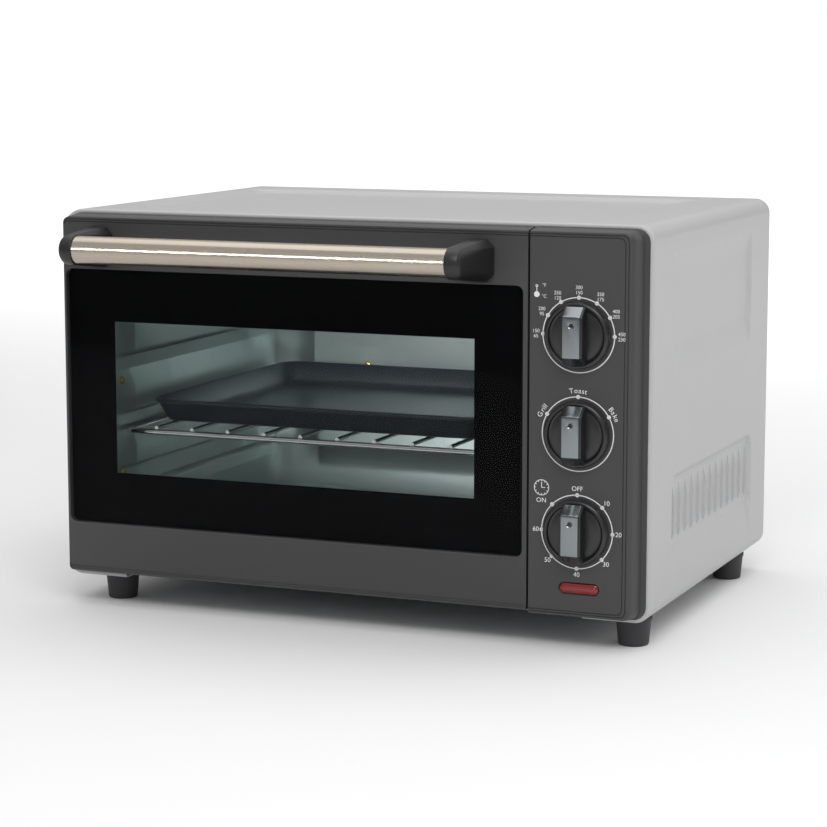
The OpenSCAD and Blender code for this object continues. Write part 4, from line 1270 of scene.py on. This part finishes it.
    def build(self) -> None:
        """Builds the knob, its inlay and its dial."""
        knob = combined(self.skirt(), self.grip(), "UNION")
        place(f"{self.node}_moulding", knob, BLACK_PHENOLIC, self.body, [self.node],
              sharp_deg=38)
        place(f"{self.node}_inlay_strip", self.inlay(), BRUSHED_INLAY, self.body,
              [f"{self.node}_inlay"])
        place(f"{self.node}_dial_print", self.dial_print(), WHITE_INK, "cabinet")


def text_curve(text: str, height: float) -> bpy.types.Curve:
    """Makes a text curve.

    Args:
        text: the characters.
        height: the size of the type.

    Returns:
        The curve, at one unit to the millimetre.
    """
    curve = bpy.data.curves.new("lettering", "FONT")
    curve.body = text
    curve.size = height
    curve.resolution_u = 3
    return curve


def text_width(text: str, height: float) -> float:
    """Measures how wide a text is set."""
    obj = bpy.data.objects.new("lettering", text_curve(text, height))
    bpy.context.scene.collection.objects.link(obj)
    mesh = evaluated(obj)
    edges = [v.co.x for v in mesh.vertices]
    return max(edges) - min(edges)


def lettering(text: str, at: Vector, height: float, thick: float, turn: float = 0.0,
              baseline: bool = False) -> bpy.types.Mesh:
    """Makes printed characters that lie on the front face.

    Args:
        text: the characters.
        at: the middle of the text, on the face.
        height: the size of the type.
        thick: the thickness of the ink.
        turn: how far the text is turned in its plane, anticlockwise, in radians.
        baseline: whether the place given is on the text's baseline.

    Returns:
        The characters' mesh.
    """
    curve = text_curve(text, height)
    curve.align_x = "CENTER"
    curve.align_y = "TOP_BASELINE" if baseline else "CENTER"
    curve.extrude = thick / 2
    obj = bpy.data.objects.new("lettering", curve)
    bpy.context.scene.collection.objects.link(obj)
    mesh = evaluated(obj)
    mesh.transform(Matrix.Translation(at * MM) @ Matrix.Rotation(-turn, 4, "Y")
                   @ Matrix.Rotation(math.pi / 2, 4, "X") @ Matrix.Scale(MM, 4))
    return mesh


KNOBS: tuple[Knob, ...] = (
    Knob("temperature_knob", "temperature_control",
         Dial(-90, 30, ("150/65", "200/95", "250/120", "300/150", "350/175", "400/205", "450/230"),
              text_mm=2.75, reach=24.3)),
    Knob("function_knob", "function_control",
         Dial(-60, 60, ("Grill", "Toast", "Bake"), curved=True, text_mm=4.0, reach=22.4)),
    Knob("timer_knob", "timer_control",
         Dial(-45, 45, ("", "OFF", "10", "20", "30", "40", "50", "60"), text_mm=3.7, reach=23.7)),
)


@dataclass
class PanelSymbols:
    """The thermometer and the clock that are printed beside the dials."""

    line: float = 0.42
    ink: float = 0.06
    bulb_at: tuple[float, float] = (-24.0, 21.3)
    bulb_radius: float = 1.6
    stem: float = 4.6
    clock_at: tuple[float, float] = (-20.5, 23.3)
    clock_ring: tuple[float, float] = (4.4, 4.0)
    hands: tuple[float, float] = (2.9, 2.1)
    ticks: tuple[float, float] = (3.3, 4.2)
    on_at: tuple[float, float] = (-20.6, 16.2)

    def ring(self, centre: Vector, outer: float, inner: float) -> bpy.types.Mesh:
        """Prints a ring, or a disc if inner is nearly nothing."""
        profile = [(inner, 0), (outer, 0), (outer, self.ink), (inner, self.ink)]
        return lathe(profile, centre, Vector((0, -1, 0)), 40, closed=True)

    def stroke(self, centre: Vector, angle_deg: float, start: float, end: float) -> bpy.types.Mesh:
        """Prints a short line that points away from a centre."""
        a = math.radians(angle_deg)
        along = Vector((math.sin(a), 0, math.cos(a)))
        across = Vector((math.cos(a), 0, -math.sin(a))) * self.line / 2
        bm = bmesh.new()
        loops = []
        for y in (0.0, -self.ink):
            shift = centre + Vector((0, y, 0))
            loops.append([shift + along * start - across, shift + along * start + across,
                          shift + along * end + across, shift + along * end - across])
        loft(bm, loops)
        return mesh_from(bm)

    def build(self) -> None:
        """Prints both symbols and the two degree signs."""
        temperature, timer = KNOBS[0].centre, KNOBS[2].centre
        bulb = temperature + Vector((self.bulb_at[0], 0, self.bulb_at[1]))
        clock = timer + Vector((self.clock_at[0], 0, self.clock_at[1]))
        meshes = [self.ring(bulb, self.bulb_radius, 0.02), self.stroke(bulb, 0, 1.2, self.stem),
                  self.ring(bulb + Vector((0, 0, self.stem)), 0.75, 0.4)]
        for text, x, z in (("°F", 4.2, 5.0), ("°C", 4.2, -1.0)):
            meshes.append(lettering(text, bulb + Vector((x, 0, z)), 2.6, self.ink))
        meshes.append(lettering("ON", timer + Vector((self.on_at[0], 0, self.on_at[1])), 3.7, self.ink))
        meshes.append(self.ring(clock, *self.clock_ring))
        meshes.extend(self.stroke(clock, 90 * i, 0, hand) for i, hand in enumerate(self.hands))
        meshes.extend(self.stroke(clock, 30 * i, *self.ticks) for i in range(12))
        place("panel_symbols_print", joined(meshes), WHITE_INK, "cabinet")


@dataclass
class LampLens:
    """The red lens, with facets along it that spread the light."""

    border: float = 1.3
    flange: float = 1.2
    flange_thick: float = 1.5
    ridges: tuple[tuple[float, float], ...] = ((0.0, 0.7), (-0.25, 0.35), (-0.8, 0.15), (-1.1, 0.5),
                                               (-1.6, 0.45), (-1.9, 0.05), (-2.3, -0.05))

    def build(self) -> None:
        """Builds the lens."""
        at = span("lamp_lens")
        half_x, half_z = at.size.x / 2 - self.border, at.size.z / 2 - self.border
        bm = bmesh.new()
        loops = []
        back = at.hi.y - self.flange_thick
        steps = [(self.flange, at.hi.y), (self.flange, back), (0.0, back)]
        steps += [(grow, FACE_Y + depth) for grow, depth in self.ridges]
        for grow, y in steps:
            r = half_z + grow - 0.02
            loops.append(rounded_loop(at.mid.x - half_x - grow, at.mid.z - half_z - grow,
                                      at.mid.x + half_x + grow, at.mid.z + half_z + grow, [r] * 4, y, 10))
        loft(bm, loops)
        place("lamp_lens_red", mesh_from(bm), RED_LENS, "cabinet", ["lamp_lens"], sharp_deg=50)


# ---- Oven cavity ------------------------------------------------------------------------------------


@dataclass
class PressedWall:
    """A wall of the cavity: a flat sheet with pressed panels that stand into the oven."""

    name: str
    node: str
    origin: Vector
    across: Vector
    up: Vector
    into: Vector
    width: float
    height: float
    pressings: tuple[Pressing, ...]
    sheet: float = 0.8

    def build(self) -> None:
        """Builds the wall as a fine sheet and gives it its thickness."""
        us = stations(0, self.width, [e for p in self.pressings for e in (p.u0, p.u1)], reach=8)
        vs = stations(0, self.height, [e for p in self.pressings for e in (p.v0, p.v1)], reach=8)
        bm = bmesh.new()
        rows = []
        for v in vs:
            row = []
            for u in us:
                depth = sum(p.depth_at(u, v) for p in self.pressings)
                row.append(bm.verts.new(self.origin + self.across * u + self.up * v + self.into * depth))
            rows.append(row)
        facing = self.across.cross(self.up).dot(self.into) > 0
        for a, b in zip(rows, rows[1:]):
            for j in range(len(us) - 1):
                quad = (a[j], a[j + 1], b[j + 1], b[j])
                bm.faces.new(quad if facing else quad[::-1])
        mesh = with_modifier(mesh_from(bm, fix_normals=False), "SOLIDIFY", thickness=self.sheet * MM,
                             offset=-1.0)
        place(self.name, mesh, ALUMINISED_SHEET, "cabinet", [self.node], sharp_deg=50)


# Heights and depths in the cavity: where its sheets start, and the pressed ledges that carry the rack.
CAVITY_SHEET = 0.8
CAVITY_FLOOR = 36
CAVITY_FRONT = 14
LEDGE_Y = (28, 228)
LEDGE_Z = ((54, 68), (78.5, 100.5), (111, 135), (145, 185))
# The back wall's raised panel and the screw's boss: corners, then corner radius, depth and slope.
BACK_PRESSINGS = (((-124, 60, 64, 196), (14, 6.0, 5.0)), ((-89.5, 108, -70, 127), (7, 1.2, 1.5)))
SIDE_SCREW_Z = (76.0, 131.4)
BACK_SCREW = (-80, 119)


def cavity_walls() -> list[PressedWall]:
    """Lays out the side walls and the back wall.

    Returns:
        The walls.
    """
    left, right, back = span("cavity_left_wall"), span("cavity_right_wall"), span("cavity_back_wall")
    across, up = Vector((0, 1, 0)), Vector((0, 0, 1))
    ledges = tuple(Pressing(LEDGE_Y[0] - CAVITY_FRONT, z0 - CAVITY_FLOOR, LEDGE_Y[1] - CAVITY_FRONT,
                            z1 - CAVITY_FLOOR, 5, 4.0, 2.6) for z0, z1 in LEDGE_Z)
    walls = [
        PressedWall("cavity_left_wall_pressed", "cavity_left_wall",
                    Vector((left.lo.x + CAVITY_SHEET, left.lo.y, left.lo.z)), across, up, Vector((1, 0, 0)),
                    left.size.y, left.size.z, ledges),
        PressedWall("cavity_right_wall_pressed", "cavity_right_wall",
                    Vector((right.hi.x - CAVITY_SHEET, right.lo.y, right.lo.z)), across, up,
                    Vector((-1, 0, 0)), right.size.y, right.size.z, ledges)]
    base = Vector((back.lo.x, back.hi.y - CAVITY_SHEET, back.lo.z))
    panels = tuple(Pressing(x0 - back.lo.x, z0 - CAVITY_FLOOR, x1 - back.lo.x, z1 - CAVITY_FLOOR, *form)
                   for (x0, z0, x1, z1), form in BACK_PRESSINGS)
    walls.append(PressedWall("cavity_back_wall_pressed", "cavity_back_wall", base, Vector((1, 0, 0)), up,
                             Vector((0, -1, 0)), back.size.x, back.size.z, panels))
    return walls


def cavity_screw_heads() -> None:
    """Builds the small screws that hold the cavity's sheets."""
    at = span("cavity_screws")
    heads = []
    for x, turn in ((at.lo.x, -math.pi / 2), (at.hi.x, math.pi / 2)):
        for z in SIDE_SCREW_Z:
            head = pan_head(2.5, 1.4)
            head.transform(Matrix.Translation(Vector((x, at.lo.y + 2.5, z)) * MM)
                           @ Matrix.Rotation(turn, 4, "Z"))
            heads.append(head)
    rear = pan_head(2.6, 1.6)
    rear.transform(Matrix.Translation(Vector((BACK_SCREW[0], at.hi.y, BACK_SCREW[1])) * MM)
                   @ Matrix.Rotation(math.pi, 4, "Z"))
    place("cavity_screw_heads", joined(heads + [rear]), YELLOW_ZINC, "cabinet",
          ["cavity_screws"])


# ---- Rack and tray ----------------------------------------------------------------------------------


@dataclass
class WireRack:
    """The plated rack: a bent frame wire with cross wires and bars welded to it."""

    wire: float = 1.7
    bar: float = 1.2
    bend: float = 6.0
    bar_pitch: float = 23.2
    bar_count: int = 9
    bar_shift: float = 2.0
    cross_y: tuple[float, float] = (90, 160)

    def tube(self, path: Sequence[Vector], radius: float, closed: bool) -> bpy.types.Mesh:
        """Sweeps a round wire along a path.

        Args:
            path: the wire's middle line.
            radius: the wire's radius.
            closed: whether the path joins up.

        Returns:
            The wire.
        """
        curve = bpy.data.curves.new("wire", "CURVE")
        curve.dimensions = "3D"
        spline = curve.splines.new("POLY")
        spline.points.add(len(path) - 1)
        for point, at in zip(spline.points, path):
            point.co = (*(at * MM), 1)
        spline.use_cyclic_u = closed
        curve.bevel_depth = radius * MM
        curve.bevel_resolution = 4
        curve.use_fill_caps = True
        obj = bpy.data.objects.new("wire", curve)
        bpy.context.scene.collection.objects.link(obj)
        return evaluated(obj)

    def build(self) -> None:
        """Builds the rack."""
        at = span("wire_rack")
        w = self.wire
        z = at.lo.z + w
        lo, hi = at.lo + Vector((w, w, 0)), at.hi - Vector((w, w, 0))
        flat = rounded_loop(lo.x, lo.y, hi.x, hi.y, [self.bend] * 4, 0, 8)
        frame_wire = self.tube([Vector((p.x, p.z, z)) for p in flat], w, True)
        wires = [frame_wire]
        for y in (FACE_Y + back for back in self.cross_y):
            wires.append(self.tube([Vector((lo.x, y, z)), Vector((hi.x, y, z))], w, False))
        first = at.mid.x - self.bar_shift - (self.bar_count - 1) / 2 * self.bar_pitch
        height = z + w + self.bar - 0.5
        values = {"Count": self.bar_count, "Pitch": self.bar_pitch * MM,
                  "Start": Vector((first, lo.y, height)) * MM, "Length": (hi.y - lo.y) * MM,
                  "Radius": self.bar * MM}
        mesh = run_tree(joined(wires), row_of_bars(), values, PLATED_WIRE)
        place("wire_rack_plated", mesh, PLATED_WIRE, "rack", ["wire_rack"], sharp_deg=60)


@dataclass
class BakeTray:
    """The baking tray: sloping sides, rounded corners and a rolled rim."""

    corner: float = 14.0
    taper: float = 5.0
    sheet: float = 0.8
    rim: float = 1.2
    lip: float = 3.2
    under: tuple[tuple[float, float], ...] = ((7, 0), (4, 0.3), (2.4, 1.4), (1.7, 3.0))
    inside: tuple[tuple[float, float], ...] = ((1.7, 3.2), (2.7, 1.6), (5, 0.3), (8, 0))

    def loop(self, grow: float, z: float) -> Loop:
        """Draws the tray's outline, larger or smaller, at a height."""
        at = span("bake_tray")
        radius = self.corner + grow
        flat = rounded_loop(at.lo.x - grow, at.lo.y - grow, at.hi.x + grow, at.hi.y + grow,
                            [radius] * 4, 0, 12)
        return [Vector((p.x, p.z, z)) for p in flat]

    def build(self) -> None:
        """Builds the tray from its underside over the rim to its floor."""
        at = span("bake_tray")
        low, top, t, c = at.lo.z, at.hi.z, self.sheet, self.taper
        rim = self.rim
        roll = [(-rim + rim * math.sin(math.radians(a)), top - rim + rim * math.cos(math.radians(a)))
                for a in range(200, -61, -26)]
        loops = [self.loop(-c - inward, low + rise) for inward, rise in self.under]
        loops += [self.loop(grow, z) for grow, z in roll]
        loops.append(self.loop(-self.lip, top - rim))
        loops += [self.loop(-c - inward - t, low + rise + t) for inward, rise in self.inside]
        bm = bmesh.new()
        loft(bm, loops)
        place("bake_tray_coated", mesh_from(bm), NON_STICK, "tray", ["bake_tray"],
              sharp_deg=60)


# ---- Feet -------------------------------------------------------------------------------------------


@dataclass
class Feet:
    """Four tapered rubber feet, each bored for its screw."""

    recess: float = 4.6
    recess_depth: float = 9.0
    bore: float = 2.0
    taper: float = 1.7

    def build(self) -> None:
        """Builds the feet."""
        for end in ("front_left", "front_right", "rear_left", "rear_right"):
            at = span(f"foot_{end}")
            r, h = at.size.x / 2, at.size.z
            low = r - self.taper
            profile = [(self.recess, self.recess_depth), (self.recess, 0.5), (self.recess + 0.4, 0),
                       (low - 1.0, 0), (low - 0.3, 0.35), (low, 1.1), (r - 0.55, h - 2.4),
                       (r - 0.1, h - 2.0),
                       (r, h - 0.3), (r - 0.2, h), (self.bore, h), (self.bore, self.recess_depth)]
            centre = Vector((at.mid.x, at.mid.y, 0))
            mesh = lathe(profile, centre, Vector((0, 0, 1)), 56, closed=True)
            place(f"foot_{end}_rubber", mesh, FOOT_RUBBER, "cabinet", [f"foot_{end}"],
                  sharp_deg=45)


# ---- Studio -----------------------------------------------------------------------------------------


PALE_FLOOR = Finish("pale_floor", "f4f4f4", "f2f2f2", roughness=0.9, specular=0.1)


@dataclass(frozen=True)
class SoftLight:
    """A soft rectangular light, with its places and sizes in metres and its power in watts."""

    name: str
    at: tuple[float, float, float]
    towards: tuple[float, float, float]
    size: tuple[float, float]
    power: float
    spread_deg: float = 180


ROOM_LIGHTS = (
    SoftLight("key", (0.6, -1.05, 1.15), (0.05, 0, 0.14), (1.0, 0.5), 8.0),
    SoftLight("top", (0.0, 0.2, 1.8), (0, 0, 0.1), (2.4, 1.6), 12.5),
    SoftLight("side", (1.6, 1.1, 0.8), (0, 0, 0.1), (1.4, 1.0), 3.5),
    SoftLight("cavity", (-0.03, -0.085, 0.2), (-0.03, 0.1, 0.1), (0.2, 0.02), 0.16, 100),
    SoftLight("cavity_low", (-0.03, -0.088, 0.062), (-0.03, 0.08, 0.045), (0.2, 0.02), 0.09, 110),
)
HANDLE_STRIP = SoftLight("strip", (-0.42, -1.25, 0.42), (-0.03, -0.15, 0.2), (1.2, 0.05), 0.8, 70)


@dataclass
class Studio:
    """The camera, the soft lights and the pale floor."""

    camera_at: Vector = field(default_factory=lambda: Vector((585.9, FACE_Y - 1307.1, 335.0)))
    yaw_deg: float = 22.417
    pitch_deg: float = -8.42
    lens: float = 112.3
    horizon: float = 0.12
    zenith: float = 0.62
    floor_reach: float = 9000

    def camera(self) -> None:
        """Sets up the camera."""
        data = bpy.data.cameras.new("camera")
        data.lens = self.lens
        data.sensor_width = 36
        data.clip_end = 50
        obj = bpy.data.objects.new("camera", data)
        obj.location = self.camera_at * MM
        obj.rotation_euler = (math.radians(90 + self.pitch_deg), 0, math.radians(self.yaw_deg))
        bpy.context.scene.collection.objects.link(obj)
        bpy.context.scene.camera = obj

    def area(self, light: SoftLight) -> bpy.types.Object:
        """Hangs a soft rectangular light and returns its object."""
        data = bpy.data.lights.new(light.name, "AREA")
        data.shape = "RECTANGLE"
        data.size, data.size_y = light.size
        data.energy = light.power
        data.spread = math.radians(light.spread_deg)
        obj = bpy.data.objects.new(light.name, data)
        obj.location = light.at
        obj.rotation_euler = (Vector(light.towards) - Vector(light.at)).to_track_quat("-Z", "Y").to_euler()
        bpy.context.scene.collection.objects.link(obj)
        return obj

    def light_far_floor(self, paint: bpy.types.Material) -> None:
        """Lifts the floor to white behind the oven, so that it runs into the backdrop with no line."""
        tree = paint.node_tree
        way = add_node(tree, "ShaderNodeTexCoord").outputs["Object"]
        depth = add_node(tree, "ShaderNodeSeparateXYZ", None, {"Vector": way}).outputs["Y"]
        lift = add_node(tree, "ShaderNodeMapRange", {"interpolation_type": "SMOOTHSTEP"},
                        {"Value": depth, "From Min": 0.25, "From Max": 2.2, "To Min": 0.0, "To Max": 0.6})
        shader = next(n for n in tree.nodes if n.type == "BSDF_PRINCIPLED")
        shader.inputs["Emission Color"].default_value = (1, 1, 1, 1)
        tree.links.new(lift.outputs["Result"], shader.inputs["Emission Strength"])

    def build(self) -> None:
        """Builds the camera, the floor, the world and the lights."""
        self.camera()
        bm = bmesh.new()
        reach = self.floor_reach
        loft(bm, [[Vector((x, y, z)) for x, y in ((-reach, -reach), (reach, -reach), (reach, reach),
                                                  (-reach, reach))] for z in (-30.0, 0.0)])
        floor = mesh_from(bm)
        floor.materials.append(PAINTS.get(PALE_FLOOR))
        self.light_far_floor(floor.materials[0])
        stage = stand_in(floor, "floor")
        world = bpy.data.worlds.new("studio")
        world.use_nodes = True
        tree = world.node_tree
        tree.nodes.clear()
        seen = add_node(tree, "ShaderNodeLightPath").outputs["Is Camera Ray"]
        way = add_node(tree, "ShaderNodeTexCoord").outputs["Generated"]
        height = add_node(tree, "ShaderNodeSeparateXYZ", None, {"Vector": way}).outputs["Z"]
        dome = add_node(tree, "ShaderNodeMapRange", {"interpolation_type": "SMOOTHSTEP"},
                        {"Value": height, "From Min": 0.02, "From Max": 0.55, "To Min": self.horizon,
                         "To Max": self.zenith})
        strength = add_node(tree, "ShaderNodeMix", {"data_type": "FLOAT"},
                            {"Factor": seen, "A": dome.outputs["Result"], "B": 1.0})
        sky = add_node(tree, "ShaderNodeBackground", None, {"Strength": strength.outputs["Result"]})
        sky.inputs["Color"].default_value = (1, 1, 1, 1)
        add_node(tree, "ShaderNodeOutputWorld", None, {"Surface": sky.outputs["Background"]})
        bpy.context.scene.world = world
        bpy.context.scene.view_settings.view_transform = "Standard"
        for light in ROOM_LIGHTS:
            self.area(light)


def light_handle(studio: Studio) -> None:
    """Hangs a narrow strip light that only the handle's tube takes.

    Args:
        studio: The studio that hangs the light.
    """
    strip = studio.area(HANDLE_STRIP)
    lit = bpy.data.collections.new("lit_by_strip")
    lit.objects.link(bpy.data.objects["handle_bar_tube"])
    strip.light_linking.receiver_collection = lit


def dress_frame_nodes() -> None:
    """Gives each node that is still shown its material."""
    for node, finish in CAD_FINISHES.items():
        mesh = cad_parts[node].data
        mesh.materials.clear()
        mesh.materials.append(PAINTS.get(finish))
        log.info("%s: %s", node, finish.name)


def main() -> None:
    """Builds the oven."""
    logging.basicConfig(level=logging.INFO, format="%(name)s %(message)s")
    studio = Studio()
    studio.build()
    dress_frame_nodes()
    OuterShell().build()
    for part in (DoorMoulding(), GlassPane(), Handle(), PanelMoulding(), *KNOBS, PanelSymbols(), LampLens(),
                 *cavity_walls()):
        part.build()
    cavity_screw_heads()
    for part in (WireRack(), BakeTray(), Feet()):
        part.build()
    light_handle(studio)


if __name__ == "__main__":
    main()
